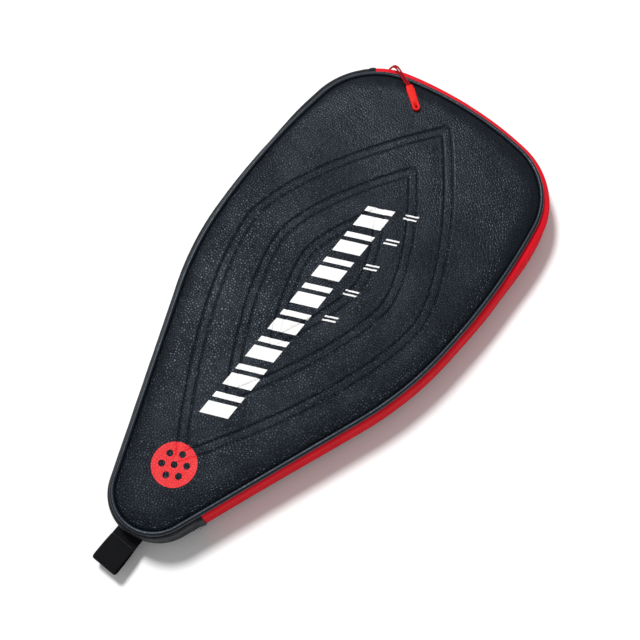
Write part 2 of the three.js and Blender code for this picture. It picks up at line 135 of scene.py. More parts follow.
def walk_half():
    """Rows of (x, y, heading) from the head centre clockwise to the tail centre."""
    rows = [(0.0, 0.0, 0.0)]

    def arc(radius, turn):
        x, y, start = rows[-1]
        cx = x - radius * math.sin(start)
        cy = y - radius * math.cos(start)
        count = max(2, round(radius * turn / RIM_STEP))
        for i in range(1, count + 1):
            h = start + turn * i / count
            rows.append((cx + radius * math.sin(h), cy + radius * math.cos(h), h))

    for radius, degrees in ARCS:
        arc(radius, math.radians(degrees))
    x, y, h = rows[-1]
    count = round(TAPER / RIM_STEP)
    for i in range(1, count + 1):
        d = TAPER * i / count
        rows.append((x + d * math.cos(h), y - d * math.sin(h), h))
    x, y, h = rows[-1]
    arc(x / math.sin(h), math.pi - h)
    return np.array(rows)


class Rim:
    """The piping's outer edge, clockwise from the tail centre up the left side, by its length s."""

    def __init__(self):
        right = walk_half()
        right[:, 1] += CENTRE_Y - right[-1, 1] / 2
        left = right[::-1] * (-1, 1, -1)
        rows = np.concatenate([left[:-1], right])
        steps = np.linalg.norm(np.diff(rows[:, :2], axis=0), axis=1)
        self.s = np.concatenate([[0], np.cumsum(steps)])
        self.x, self.y, self.heading = rows.T
        self.length = self.s[-1]
        self.tree = kdtree.KDTree(len(self.s))
        for i, (x, y) in enumerate(rows[:, :2]):
            self.tree.insert((x, y, 0), i)
        self.tree.balance()

    def at(self, s):
        s = np.mod(s, self.length)
        return tuple(np.interp(s, self.s, a) for a in (self.x, self.y, self.heading))

    def offset(self, s, n):
        """(x, y) at this distance outside the rim."""
        x, y, h = self.at(s)
        return np.stack([x + n * np.sin(h), y + n * np.cos(h)], axis=-1)

    def axes(self, s):
        """Points of the rim at height 0, and the directions outward and along, as (x, y, z)."""
        x, y, h = self.at(s)
        zero = 0 * h
        out = np.stack([np.sin(h), np.cos(h), zero], axis=-1)
        along = np.stack([np.cos(h), -np.sin(h), zero], axis=-1)
        return np.stack([x, y, zero], axis=-1), out, along

    def heading_at(self, degrees):
        """The length s at which the rim has this heading."""
        return float(np.interp(math.radians(degrees), self.heading, self.s))

    def measure(self, points):
        """(n, s) of points in the plane."""
        nearest = np.array([self.tree.find((x, y, 0))[1] for x, y in points])
        h = self.heading[nearest]
        dx, dy = points[:, 0] - self.x[nearest], points[:, 1] - self.y[nearest]
        return dx * np.sin(h) + dy * np.cos(h), self.s[nearest] + (dx * np.cos(h) - dy * np.sin(h))


rim = Rim()
ZIP_START = rim.heading_at(ZIP_START_HEADING)
TAPER_HEADING = math.radians(sum(turn for _, turn in ARCS))
PAST_TAPER = 1e-6                # the heading is the same all along the taper, so look just past it
TAIL_ARC_START = np.interp(TAPER_HEADING + PAST_TAPER, rim.heading, rim.s)
ZIP_END = TAIL_ARC_START - ZIP_END_BEFORE_TAIL_ARC


# ---- meshes -------------------------------------------------------------------------------


SHARP = math.radians(75)


def show(name, mesh, look):
    """Puts a smooth mesh with one material in the scene."""
    mesh.shade_smooth()
    mesh.materials.append(look)
    obj = bpy.data.objects.new(name, mesh)
    bpy.context.scene.collection.objects.link(obj)
    return obj


def make(name, verts, faces, look, uvs=None):
    """A mesh object, smooth but for sharp edges. uvs hold one (u, v) in metres per face corner."""
    mesh = bpy.data.meshes.new(name)
    mesh.from_pydata([tuple(v) for v in np.asarray(verts, float)], [], [tuple(f) for f in faces])
    if uvs is not None:
        layer = mesh.uv_layers.new(name="cloth")
        layer.data.foreach_set("uv", np.asarray(uvs, np.float32).ravel())
    bm = bmesh.new()
    bm.from_mesh(mesh)
    bmesh.ops.recalc_face_normals(bm, faces=bm.faces)
    bm.to_mesh(mesh)
    bm.free()
    obj = show(name, mesh, look)
    mesh.set_sharp_from_angle(angle=SHARP)
    return obj


def grid(rows, columns, wrap_rows, wrap_columns):
    """Quads over a grid of points, with each corner's (row, column) before it wraps."""
    i, j = np.meshgrid(
        np.arange(rows - (not wrap_rows)), np.arange(columns - (not wrap_columns)), indexing="ij"
    )
    i, j = i.ravel(), j.ravel()
    r = np.stack([i, i, i + 1, i + 1], axis=1)
    c = np.stack([j, j + 1, j + 1, j], axis=1)
    return (r % rows) * columns + c % columns, r, c


def loft(name, rings, look, along, around, closed):
    """A skin over rings of points (rows, columns, 3); open lofts are capped at both ends."""
    rows, columns = rings.shape[:2]
    quads, r, c = grid(rows, columns, closed, True)
    u = np.append(along, 2 * along[-1] - along[-2])[r]
    v = np.append(around, 2 * around[-1] - around[-2])[c]
    uvs = np.stack([u, v], axis=-1).reshape(-1, 2)
    faces = quads.tolist()
    if not closed:
        faces += [list(range(columns)), [(rows - 1) * columns + k for k in range(columns)]]
        flat = np.stack([np.tile(around, 2), np.zeros(2 * columns)], axis=-1)
        uvs = np.concatenate([uvs, flat])
    return make(name, rings.reshape(-1, 3), faces, look, uvs)


def spread(path):
    """Running length along a path of points."""
    return np.concatenate([[0], np.cumsum(np.linalg.norm(np.diff(path, axis=0), axis=1))])


def sweep(name, profile, s, look, closed=False):
    """Sweeps a closed (n, z) profile along the rim; it is (P, 2), or (S, P, 2) where it varies."""
    profile = np.broadcast_to(profile, (len(s), *np.shape(profile)[-2:]))
    flat = rim.offset(s[:, None], profile[..., 0])
    rings = np.concatenate([flat, profile[..., 1:]], axis=-1)
    return loft(name, rings, look, s, spread(profile[0]), closed)


def stations(start, end, step):
    """Places along a stretch of the rim."""
    return np.linspace(start, end, max(2, round((end - start) / step) + 1))


def all_round(step):
    """Places all round the rim."""
    return np.linspace(0, rim.length, round(rim.length / step), endpoint=False)


def smooth_noise(x, y, z):
    """Noise from about -1 to 1, in two octaves."""
    return noise.fractal((x, y, z), 1, 2, 2)


def wander(values, size, seed):
    """Smooth noise along the rim, with features of about this size; it closes on itself."""
    count = round(rim.length / size)
    turn = 2 * math.pi / rim.length
    radius = count / (2 * math.pi)
    return np.array([
        smooth_noise(radius * math.cos(turn * v), radius * math.sin(turn * v), seed)
        for v in np.asarray(values).ravel()
    ]).reshape(np.shape(values))


def field(points, size, seed):
    """Smooth noise over the plane, with features of about this size."""
    return np.array([smooth_noise(x / size, y / size, seed) for x, y in points])


def tube_rings(path, radius, sides):
    """Rings of points round a path; radius is a number or one for each point."""
    tangents = np.gradient(path, axis=0)
    tangents /= np.linalg.norm(tangents, axis=1)[:, None]
    normal = np.cross(tangents[0], (0.3, 0.5, 0.81))
    normals = []
    for t in tangents:
        normal = normal - normal.dot(t) * t
        normal = normal / np.linalg.norm(normal)
        normals.append(normal)
    normals = np.array(normals)
    sideways = np.cross(tangents, normals)
    a = 2 * math.pi * np.arange(sides) / sides
    ring = np.cos(a)[None, :, None] * normals[:, None] + np.sin(a)[None, :, None] * sideways[:, None]
    radius = np.broadcast_to(radius, len(path))
    return path[:, None] + ring * radius[:, None, None], normals, sideways


def tube(name, path, radius, sides, look):
    rings = tube_rings(path, radius, sides)[0]
    around = np.mean(radius) * 2 * math.pi * np.arange(sides) / sides
    return loft(name, rings, look, spread(path), around, False)


def join(name, pieces):
    """Joins pieces into the first one."""
    with bpy.context.temp_override(active_object=pieces[0], selected_editable_objects=pieces):
        bpy.ops.object.join()
    pieces[0].name = name
    return pieces[0]


def stitches(name, places, along, out, length, radius, look):
    """A row of sewn stitches, each a thread that rises out of the cloth and dives back in."""
    steps, sides = 7, 6
    t = np.linspace(-1, 1, steps)
    path = np.stack([t * length / 2, 0 * t, radius * (0.55 - 1.6 * t**4)], axis=1)
    points = tube_rings(path, radius, sides)[0].reshape(-1, 3)
    quads = grid(steps, sides, False, True)[0]
    ends = [list(range(sides)), list(range((steps - 1) * sides, steps * sides))]
    side = np.cross(out, along)
    verts = (
        places[:, None]
        + points[None, :, :1] * along[:, None]
        + points[None, :, 1:2] * side[:, None]
        + points[None, :, 2:] * out[:, None]
    )
    faces = []
    for k in range(len(places)):
        faces += (quads + k * len(points)).tolist()
        faces += [[v + k * len(points) for v in end] for end in ends]
    return make(name, verts.reshape(-1, 3), faces, look)


# ---- materials ----------------------------------------------------------------------------


class Look:
    """A Principled material whose nodes are added by short calls."""

    def __init__(self, name, colour, roughness, coords="cloth", **sockets):
        self.material = bpy.data.materials.new(name)
        self.material.use_nodes = True
        self.nodes = self.material.node_tree.nodes
        self.links = self.material.node_tree.links
        self.shader = self.nodes["Principled BSDF"]
        self.shader.inputs["Base Color"].default_value = (*colour, 1)
        self.shader.inputs["Roughness"].default_value = roughness
        for socket, value in sockets.items():
            self.shader.inputs[socket.replace("_", " ")].default_value = value
        if coords == "cloth":
            source = self.nodes.new("ShaderNodeUVMap")
            source.uv_map = "cloth"
            self.coords = source.outputs["UV"]
        else:
            self.coords = self.nodes.new("ShaderNodeTexCoord").outputs["Object"]
        self.normal = None

    def add(self, kind, outputs, inputs=(), **settings):
        node = self.nodes.new(kind)
        for key, value in settings.items():
            setattr(node, key, value)
        for key, value in dict(inputs).items():
            if isinstance(value, bpy.types.NodeSocket):
                self.links.new(value, node.inputs[key])
            else:
                node.inputs[key].default_value = value
        return node.outputs[outputs]

    def noise(self, size, detail=2, rough=0.5, coords=None):
        inputs = {"Vector": coords or self.coords, "Scale": 1 / size, "Detail": detail, "Roughness": rough}
        return self.add("ShaderNodeTexNoise", "Fac", inputs)

    def cells(self, size, feature, coords=None):
        inputs = {"Vector": coords or self.coords, "Scale": 1 / size}
        settings = {"feature": feature, "voronoi_dimensions": "2D"}
        return self.add("ShaderNodeTexVoronoi", "Distance", inputs, **settings)

    def math(self, operation, a, b=0.0):
        return self.add("ShaderNodeMath", "Value", {0: a, 1: b}, operation=operation)

    def waves(self, value, pitch):
        return self.math("SINE", self.math("MULTIPLY", value, 2 * math.pi / pitch))

    def split(self, vector):
        """The two coordinates of a place on the cloth; on a strip, along it and across it."""
        node = self.add("ShaderNodeSeparateXYZ", "X", {"Vector": vector}).node
        return node.outputs["X"], node.outputs["Y"]

    def ramp(self, value, low, high, to_low=0.0, to_high=1.0):
        inputs = {"Value": value, "From Min": low, "From Max": high, "To Min": to_low, "To Max": to_high}
        return self.add("ShaderNodeMapRange", "Result", inputs, interpolation_type="SMOOTHSTEP")

    def warp(self, size, amount):
        """The coordinates pushed about by noise."""
        inputs = {"Vector": self.coords, "Scale": 1 / size, "Detail": 2}
        colour = self.add("ShaderNodeTexNoise", "Color", inputs)
        centred = self.vector("SUBTRACT", {0: colour, 1: (0.5, 0.5, 0.5)})
        scaled = self.vector("SCALE", {0: centred, "Scale": amount})
        return self.vector("ADD", {0: self.coords, 1: scaled})

    def vector(self, operation, inputs):
        return self.add("ShaderNodeVectorMath", "Vector", inputs, operation=operation)

    def bump(self, height, depth):
        inputs = {"Height": height, "Distance": depth, "Strength": 1.0}
        if self.normal is not None:
            inputs["Normal"] = self.normal
        self.normal = self.add("ShaderNodeBump", "Normal", inputs)

    def colour(self, factor, dark, light):
        inputs = {"Factor": factor, 6: (*dark, 1), 7: (*light, 1)}
        mixed = self.add("ShaderNodeMix", 2, inputs, data_type="RGBA")
        self.links.new(mixed, self.shader.inputs["Base Color"])

    def roughness(self, value, low, high):
        self.links.new(self.ramp(value, 0.3, 0.7, low, high), self.shader.inputs["Roughness"])

    def done(self):
        if self.normal is not None:
            self.links.new(self.normal, self.shader.inputs["Normal"])
        return self.material


def grain(look, strength, creased=True, softer=None):
    """Pebble grain with patches of stronger and weaker grain, fine pores and a few long creases.

    softer holds the two places along the cloth between which the grain fades towards a tighter part.
    """
    warped = look.warp(3 * MM, 1.1 * MM)
    edges = look.cells(2.2 * MM, "DISTANCE_TO_EDGE", warped)
    pebbles = look.ramp(edges, 0.0, 0.32)
    patches = look.ramp(look.noise(45 * MM, 2), 0.3, 0.7, 0.5, 1.0)
    if softer:
        fade = look.ramp(look.split(look.coords)[1], *softer, 1.0, 0.3)
        patches = look.math("MULTIPLY", patches, fade)
    height = look.math("MULTIPLY", pebbles, patches)
    look.bump(height, 0.32 * MM * strength)
    if creased:
        lines = look.cells(8 * MM, "DISTANCE_TO_EDGE", look.warp(9 * MM, 9 * MM))
        where = look.ramp(look.noise(38 * MM, 2), 0.44, 0.62)
        look.bump(look.math("MULTIPLY", look.ramp(lines, 0.0, 0.06), where), 0.06 * MM * strength)
    look.bump(look.noise(0.45 * MM, 3), 0.035 * MM * strength)
    return pebbles


def leather(name, dark, light, low, high, strength, softer=None, **sockets):
    """Pebbled synthetic leather, with painted shade in its grain's grooves; low and high are the limits of
    its roughness.
    """
    look = Look(name, light, low, **sockets)
    pebbles = grain(look, strength, softer=softer)
    # painted shade: the colour is darker in the grooves between the pebbles and lighter on their tops,
    # times a broad random tone
    shade = look.math("MULTIPLY", pebbles, look.ramp(look.noise(16 * MM, 3), 0.3, 0.7, 0.5, 1.0))
    look.colour(shade, dark, light)
    look.roughness(look.noise(5 * MM, 3), low, high)
    return look.done()


def ink(name, dark, light):
    """A printed layer that follows the leather's grain, with small worn pores and painted shade in the
    grain's grooves.
    """
    look = Look(name, light, 0.5, Specular_IOR_Level=0.25)
    pebbles = grain(look, 0.45, creased=False)
    # the colour is darker in the grain's grooves, which is painted shade, and in small random spots, which
    # are worn pores
    look.colour(look.math("MULTIPLY", pebbles, look.ramp(look.noise(1.2 * MM, 3), 0.2, 0.5)), dark, light)
    look.roughness(look.noise(4 * MM, 3), 0.48, 0.62)
    return look.done()


def woven(name, dark, light, pitch, depth, roughness, **sockets):
    """A plain weave: threads over and under at this pitch, with slubs and painted shade between the
    threads.
    """
    look = Look(name, light, roughness, **sockets)
    threads = [look.waves(value, pitch) for value in look.split(look.warp(6 * pitch, 0.25 * pitch))]
    height = look.ramp(look.math("MULTIPLY", *threads), -1.0, 1.0)
    look.bump(height, depth)
    look.bump(look.noise(0.3 * MM, 2), 0.03 * MM)
    # painted shade and highlight: the colour follows the weave's height, darker in the hollows between
    # threads and lighter where they cross, times random slubs
    slubs = look.math("MULTIPLY", height, look.ramp(look.noise(7 * MM, 3), 0.25, 0.75, 0.6, 1.0))
    look.colour(slubs, dark, light)
    return look.done()


def tape_weave():
    """Zip tape: fine ribs across the tape, faintly crossed, with painted shade between them."""
    look = Look("zip_tape_red", (0.66, 0.006, 0.018), 0.8, Specular_IOR_Level=0.15)
    along, across = look.split(look.warp(4 * MM, 0.2 * MM))
    crossed = look.math("MULTIPLY", look.waves(across, 1.1 * MM), 0.25)
    height = look.ramp(look.math("ADD", look.waves(along, 0.7 * MM), crossed), -1.25, 1.25)
    look.bump(height, 0.06 * MM)
    look.bump(look.noise(0.35 * MM, 2), 0.03 * MM)
    slubs = look.ramp(look.noise(20 * MM, 3), 0.2, 0.8, 0.55, 1.0)
    # painted shade: the ribs' hollows are darker and their crests lighter, times random slubs
    rib_shade_and_slubs = look.math("MULTIPLY", look.ramp(height, 0.0, 1.0, 0.5, 1.0), slubs)
    look.colour(rib_shade_and_slubs, (0.44, 0.002, 0.008), (0.80, 0.006, 0.020))
    return look.done()


def solid_look(name, dark, light, low, high, size, depth, **sockets):
    """A moulded or lacquered part: faint mottling, small scratches and a fine surface."""
    look = Look(name, light, low, coords="object", **sockets)
    look.colour(look.ramp(look.noise(size * 6, 3), 0.3, 0.7), dark, light)
    look.roughness(look.noise(size * 3, 4), low, high)
    look.bump(look.noise(size, 4), depth)
    return look.done()


def fleece(name, dark, light):
    """Brushed lining: short soft pile in swirls, with painted shade in its hollows."""
    look = Look(name, light, 0.95, Sheen_Weight=0.35, Sheen_Roughness=0.6)
    pile = look.noise(0.9 * MM, 4, 0.7, look.warp(5 * MM, 2.5 * MM))
    look.bump(pile, 0.35 * MM)
    # painted shade: the colour follows the pile's height, lighter on raised pile and darker between
    look.colour(look.ramp(pile, 0.3, 0.7), dark, light)
    return look.done()


def open_foam():
    """Foam with fine round cells."""
    look = Look("foam_grey", (0.05, 0.05, 0.055), 0.95)
    look.bump(look.cells(0.7 * MM, "F1"), 0.2 * MM)
    look.colour(look.noise(3 * MM, 3), (0.03, 0.03, 0.033), (0.07, 0.07, 0.075))
    return look.done()


COOL = (0.72, 0.84, 1.0, 1.0)
BLACK_LEATHER = leather(
    "leather_front", (0.0005, 0.001, 0.002), (0.009, 0.012, 0.0175), 0.32, 0.40, 1.3,
    softer=(CENTRE_Y + 60 * MM, CENTRE_Y + 170 * MM), Specular_Tint=COOL, Specular_IOR_Level=0.215,
)
WALL_HIDE = leather(
    "leather_wall", (0.0015, 0.002, 0.003), (0.004, 0.005, 0.007), 0.4, 0.56, 0.45,
    Specular_Tint=COOL, Specular_IOR_Level=0.2,
)
PIPING_HIDE = leather(
    "leather_piping", (0.002, 0.0026, 0.004), (0.006, 0.008, 0.012), 0.36, 0.46, 0.22,
    Specular_Tint=COOL, Specular_IOR_Level=0.4,
)
WHITE_INK = ink("ink_white", (0.72, 0.72, 0.72), (0.93, 0.93, 0.92))
RED_INK = ink("ink_red", (0.55, 0.012, 0.016), (0.86, 0.025, 0.032))
TAPE_RED = tape_weave()
COIL_RED = solid_look("coil_red", (0.36, 0.003, 0.01), (0.55, 0.006, 0.018), 0.3, 0.5, 1 * MM, 0.02 * MM)
RUBBER_RED = solid_look(
    "rubber_red", (0.58, 0.006, 0.003), (0.72, 0.010, 0.005), 0.42, 0.56, 0.8 * MM, 0.04 * MM,
    Specular_IOR_Level=0.15,
)
CORD_RED = woven(
    "cord_red", (0.26, 0.001, 0.006), (0.52, 0.004, 0.014), 0.5 * MM, 0.06 * MM, 0.75,
    Specular_IOR_Level=0.2,
)
METAL_BLACK = solid_look(
    "metal_black", (0.010, 0.010, 0.011), (0.028, 0.028, 0.030), 0.22, 0.45, 0.7 * MM, 0.015 * MM,
    Metallic=0.65,
)
LINING_BLACK = fleece("lining_black", (0.008, 0.008, 0.010), (0.035, 0.035, 0.040))
BINDING_BLACK = woven(
    "binding_black", (0.005, 0.005, 0.006), (0.024, 0.024, 0.027), 0.8 * MM, 0.08 * MM, 0.85
)
WEBBING_BLACK = woven(
    "webbing_black", (0.001, 0.001, 0.0015), (0.007, 0.0075, 0.010), 1.1 * MM, 0.10 * MM, 0.85,
    Specular_IOR_Level=0.15,
)
THREAD = (0.5, 0.7, 0.3 * MM, 0.03 * MM)
THREAD_RED = solid_look("thread_red", (0.34, 0.002, 0.008), (0.56, 0.005, 0.014), *THREAD)
THREAD_BLACK = solid_look("thread_black", (0.006, 0.006, 0.007), (0.03, 0.03, 0.034), *THREAD)
FOAM_GREY = open_foam()


# ---- fastening ----------------------------------------------------------------------------

TURN_OVER = Matrix.Translation((0, 0, TOP)) @ Matrix.Rotation(math.pi, 4, "Y")


def bend(obj, slot, *nodes):
    """Bakes a front piece's placement into its mesh, and hides the CAD nodes that it stands for."""
    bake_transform(obj)
    return finish_piece(obj, nodes)


def hold(obj, body, slot, *nodes):
    """Fastens a piece to one body."""
    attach(obj, body)
    return finish_piece(obj, nodes)


def fasten(obj, side, slot, layer=None):
    """Fastens a piece made for the front panel, or turns it over to be its partner at the back."""
    if side == "front":
        nodes = [f"front_{layer}_spine", f"front_{layer}_flap"] if layer else []
        return bend(obj, slot, *nodes)
    obj.data.transform(TURN_OVER)
    nodes = [f"back_{layer}"] if layer else []
    return hold(obj, "case_body", slot, *nodes)


def finish_piece(obj, nodes):
    """Hides the CAD nodes that a piece stands for."""
    if nodes:
        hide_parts(*nodes)
    return obj


# ---- panels -------------------------------------------------------------------------------


def crown(depth):
    """Height above a panel's edge line at this depth inside its edge."""
    t = np.clip(1 - depth / CROWN_WIDTH, 0, 1)
    return CROWN_HEIGHT * np.sqrt(1 - t**2)


def leaf(half_width, up, down):
    """A closed leaf about the long axis, pointed at both ends, with evenly spaced points."""
    along = np.linspace(-1, 1, 2001)
    x = half_width * MM * (1 - np.abs(along) ** LEAF_POWER)
    y = LEAF_CENTRE + along * np.where(along > 0, up, down) * MM
    side = np.stack([x, y], axis=1)
    path = np.concatenate([side, side[::-1] * (-1, 1)])
    length = spread(path)
    even = np.arange(0, length[-1], LEAF_STEP)
    return np.stack([np.interp(even, length, path[:, k]) for k in (0, 1)], axis=1)


CHANNELS = [leaf(*reach) for reach in LEAVES]


def nearest_distance(points, lines):
    """Distance from each point to the nearest point of any line."""
    tree = kdtree.KDTree(sum(len(line) for line in lines))
    for i, (x, y) in enumerate(np.concatenate(lines)):
        tree.insert((x, y, 0), i)
    tree.balance()
    return np.array([tree.find((x, y, 0))[2] for x, y in points])


def emboss(points, depth):
    """How far the channels press a panel down, and the padding between them swells up."""
    t = nearest_distance(points, CHANNELS)
    fade = np.clip((depth - 7 * MM) / (9 * MM), 0, 1)
    band = BAND_DEPTH / (1 + np.exp((t - CREASE_AT) / (0.22 * MM)))
    crease = CREASE_DEPTH * np.exp(-(((t - CREASE_AT) / CREASE_WIDTH) ** 2))
    lip = 0.18 * MM * np.exp(-(((t - CREASE_AT - 1.5 * MM) / (0.9 * MM)) ** 2))
    padding = 0.4 * MM * (1 - np.exp(-np.maximum(t - CREASE_AT, 0) / (7 * MM)))
    return fade * (lip - band - crease) + padding - 0.35 * MM


def cloth_relief(points, depth, s, seed):
    """Soft unevenness of a padded skin: broad hollows, and puckers where its edge is sewn in."""
    broad = 0.28 * MM * field(points, 45 * MM, seed) + 0.10 * MM * field(points, 13 * MM, seed + 5)
    pucker = 0.22 * MM * wander(s, 7 * MM, seed + 9) * np.exp(-((depth - 3 * MM) / (4 * MM)) ** 2)
    return broad * np.clip(depth / (8 * MM), 0, 1) + pucker


def triangulate(border, inside, outlines=()):
    """Delaunay triangles inside a closed border, whose edges also follow closed outlines.

    Returns the points, the triangles, and where each border point went among the points.
    """
    edges = []
    start = 0
    for loop in (border, *outlines):
        k = start + np.arange(len(loop))
        edges += np.stack([k, np.roll(k, -1)], axis=1).tolist()
        start += len(loop)
    points = np.concatenate([border, *outlines, inside])
    made = geometry.delaunay_2d_cdt([Vector(p) for p in points], edges, [], 1, 1e-7)
    index = np.zeros(len(points), int)
    for out, sources in enumerate(made[3]):
        index[sources] = out
    return np.array([v[:] for v in made[0]]), np.array(made[2]), index[: len(border)]


def honeycomb(spacing):
    """Points spread evenly over the whole case, row by row."""
    rows = np.arange(min(rim.y), max(rim.y), spacing * math.sqrt(0.75))
    columns = np.arange(-max(rim.x), max(rim.x), spacing)
    x = columns[None] + (spacing / 2) * (np.arange(len(rows)) % 2)[:, None]
    return np.stack([x, np.broadcast_to(rows[:, None], x.shape)], axis=-1).reshape(-1, 2)


def plate(name, edge, top, bottom, spacing, look):
    """A closed sheet inside the rim; top and bottom are heights as functions of (points, depth)."""
    s = all_round(4 * MM)
    ring = rim.offset(s, edge)
    inside = honeycomb(spacing)
    inside = inside[rim.measure(inside)[0] < edge - spacing / 2]
    places, triangles, border = triangulate(ring, inside)
    depth = edge - rim.measure(places)[0]
    layers = [np.column_stack([places, height(places, depth)]) for height in (top, bottom)]
    count = len(places)
    after = np.roll(border, -1)
    side = np.stack([border, after, after + count, border + count], axis=1)
    faces = triangles.tolist() + (triangles[:, ::-1] + count).tolist() + side.tolist()
    verts = np.concatenate(layers)
    uvs = np.concatenate([verts[f, :2] for f in faces])
    return make(name, verts, faces, look, uvs)


RING_DEPTHS = np.array([0, 0.25, 0.8, 1.6, 2.7, 4.0, 5.6, 7.5]) * MM
RING_STEP = 1.6 * MM
ROWS = CREASE_AT + np.array([-2.6, -1.4, -0.8, -0.38, 0, 0.38, 0.9]) * MM    # from its middle line
SKIN_DEPTH = 2.1 * MM            # from a skin's crown to its inner face, with room for the relief


def panel_points(spacing, lines):
    """A panel's border, and its points inside: rings near the edge, rows along lines, a honeycomb."""
    border, *rings = [rim.offset(all_round(RING_STEP), PANEL_EDGE - d) for d in RING_DEPTHS]
    inner = PANEL_EDGE - RING_DEPTHS[-1] - spacing * 0.7
    rows = []
    for line in lines:
        path = line[:: round(spacing / LEAF_STEP)]
        tangent = np.roll(path, -1, axis=0) - np.roll(path, 1, axis=0)
        tangent /= np.linalg.norm(tangent, axis=1)[:, None]
        normal = np.stack([-tangent[:, 1], tangent[:, 0]], axis=1)
        rows += [path + normal * t for t in ROWS] + [path - normal * t for t in ROWS]
    comb = honeycomb(spacing)
    if lines:
        comb = comb[nearest_distance(comb, lines) > ROWS[-1] + spacing / 2]
    inside = np.concatenate([*rows, comb])
    inside = inside[rim.measure(inside)[0] < inner]
    return border, np.concatenate([*rings, inside])


def skin(name, places, triangles, border, relief, look):
    """A panel's leather: its outer face, an edge turned down into the seam, a plain inner face."""
    n, s = rim.measure(places)
    depth = PANEL_EDGE - n
    outer = np.column_stack([places, SHOULDER + crown(depth) + relief(places, depth, s)])
    ring_s = all_round(RING_STEP)
    hem_bottom = PANEL_BOTTOM + 0.1 * MM
    turned = [(0, SHOULDER - 0.6 * MM), (0.2 * MM, hem_bottom), (LEATHER, hem_bottom)]
    hems = [
        np.column_stack([rim.offset(ring_s, PANEL_EDGE - d), np.full(len(ring_s), z)]) for d, z in turned
    ]
    comb = honeycomb(6 * MM)
    comb = comb[rim.measure(comb)[0] < PANEL_EDGE - 5 * MM]
    lower, lower_triangles, lower_border = triangulate(rim.offset(ring_s, PANEL_EDGE - LEATHER), comb)
    lower_depth = PANEL_EDGE - rim.measure(lower)[0]
    inner = np.column_stack([lower, SHOULDER + crown(lower_depth) - SKIN_DEPTH])
    verts = np.concatenate([outer, *hems, inner])
    *hem_starts, inner_start = np.cumsum([len(outer), *[len(h) for h in hems]])
    hem_loops = [start + np.arange(len(ring_s)) for start in hem_starts]
    loops = [border, *hem_loops, inner_start + lower_border]
    faces = triangles.tolist()
    for a, b in zip(loops, loops[1:]):
        faces += np.stack([a, np.roll(a, -1), np.roll(b, -1), b], axis=1).tolist()
    faces += (lower_triangles[:, ::-1] + inner_start).tolist()
    uvs = np.concatenate([verts[f, :2] for f in faces])
    return make(name, verts, faces, look, uvs), outer


def inside_shape(points, shape):
    """True where points lie inside a closed outline."""
    x, y = points.T
    ax, ay = shape.T
    bx, by = np.roll(shape, -1, axis=0).T
    crosses = (ay[None] > y[:, None]) != (by[None] > y[:, None])
    with np.errstate(divide="ignore", invalid="ignore"):
        at = ax[None] + (y[:, None] - ay[None]) / (by - ay)[None] * (bx - ax)[None]
    return (crosses & (x[:, None] < at)).sum(1) % 2 == 1


def ink_piece(name, outer, triangles, shapes, look):
    """A printed layer: the skin's own triangles inside the shapes, raised by the ink's thickness."""
    middle = outer[triangles].mean(1)[:, :2]
    chosen = np.zeros(len(triangles), bool)
    for shape in shapes:
        low, high = shape.min(0), shape.max(0)
        near = np.nonzero(((middle > low) & (middle < high)).all(1))[0]
        chosen[near] ^= inside_shape(middle[near], shape)
    picked = triangles[chosen]
    used, flat = np.unique(picked, return_inverse=True)
    top = flat.reshape(picked.shape)
    verts = np.concatenate([outer[used] + (0, 0, INK_ABOVE), outer[used] - (0, 0, INK_BELOW)])
    edges = np.concatenate([top[:, [0, 1]], top[:, [1, 2]], top[:, [2, 0]]])
    keys = {tuple(e) for e in edges.tolist()}
    border = [e for e in keys if (e[1], e[0]) not in keys]
    count = len(used)
    faces = top.tolist() + (top[:, ::-1] + count).tolist()
    faces += [[b, a, a + count, b + count] for a, b in sorted(border)]
    uvs = np.concatenate([verts[f, :2] for f in faces])
    return make(name, verts, faces, look, uvs)


# ---- prints: slanted bars along the axis, small ticks beside them, and a ball --------------

INK_ABOVE = 0.07 * MM
INK_BELOW = 0.05 * MM            # how far the ink goes into the leather
BAR_GROUPS = 8
BAR_PITCH = 27.8 * MM
BAR_START = CENTRE_Y - 116 * MM
BARS = [(0, 11.5 * MM), (15.5 * MM, 20.5 * MM)]          # start and end of each bar in a group
BAR_SIDES = (-11 * MM, 10 * MM)
SLANT = 0.42
TICKS = 5
TICK_PITCH = 27 * MM
TICK_START = CENTRE_Y - 14 * MM
TICK_SIDES = (18.5 * MM, 28.5 * MM)
TICK_LINES = (0, 3.6 * MM)       # start of each of a tick's two lines
TICK_WIDTH = 1.5 * MM
BALL_CENTRE = (0.0, CENTRE_Y - 163 * MM)
BALL_RADIUS = 17.5 * MM
BALL_HOLE = 2.7 * MM
BALL_HOLES = 6
BALL_RING = 9.6 * MM             # from the ball's centre to the holes round it


def slanted(sides, start, end):
    """A slanted bar across the axis, as an outline with points about a millimetre apart."""
    corners = [(x, y + SLANT * x) for x, y in zip((*sides, *sides[::-1]), (start, start, end, end))]
    points = []
    for a, b in zip(corners, corners[1:] + corners[:1]):
        count = max(2, round(math.dist(a, b) / MM))
        points += [np.add(a, np.subtract(b, a) * k / count) for k in range(count)]
    return np.array(points)


def circle(centre, radius):
    count = max(16, round(2 * math.pi * radius / (0.8 * MM)))
    a = 2 * math.pi * np.arange(count) / count
    return np.stack([centre[0] + radius * np.cos(a), centre[1] + radius * np.sin(a)], axis=1)


def slanted_rows(sides, start, pitch, count, lines):
    """Groups of slanted bars up the axis; lines holds the start and end of each bar in a group."""
    steps = [start + k * pitch for k in range(count)]
    return [slanted(sides, step + a, step + b) for step in steps for a, b in lines]


def ball_shapes():
    """A disc with round holes: one in the middle and a ring of more."""
    holes = [BALL_CENTRE]
    for k in range(BALL_HOLES):
        a = 2 * math.pi * (k + 0.5) / BALL_HOLES
        holes.append((BALL_CENTRE[0] + BALL_RING * math.cos(a), BALL_CENTRE[1] + BALL_RING * math.sin(a)))
    return [circle(BALL_CENTRE, BALL_RADIUS)] + [circle(h, BALL_HOLE) for h in holes]


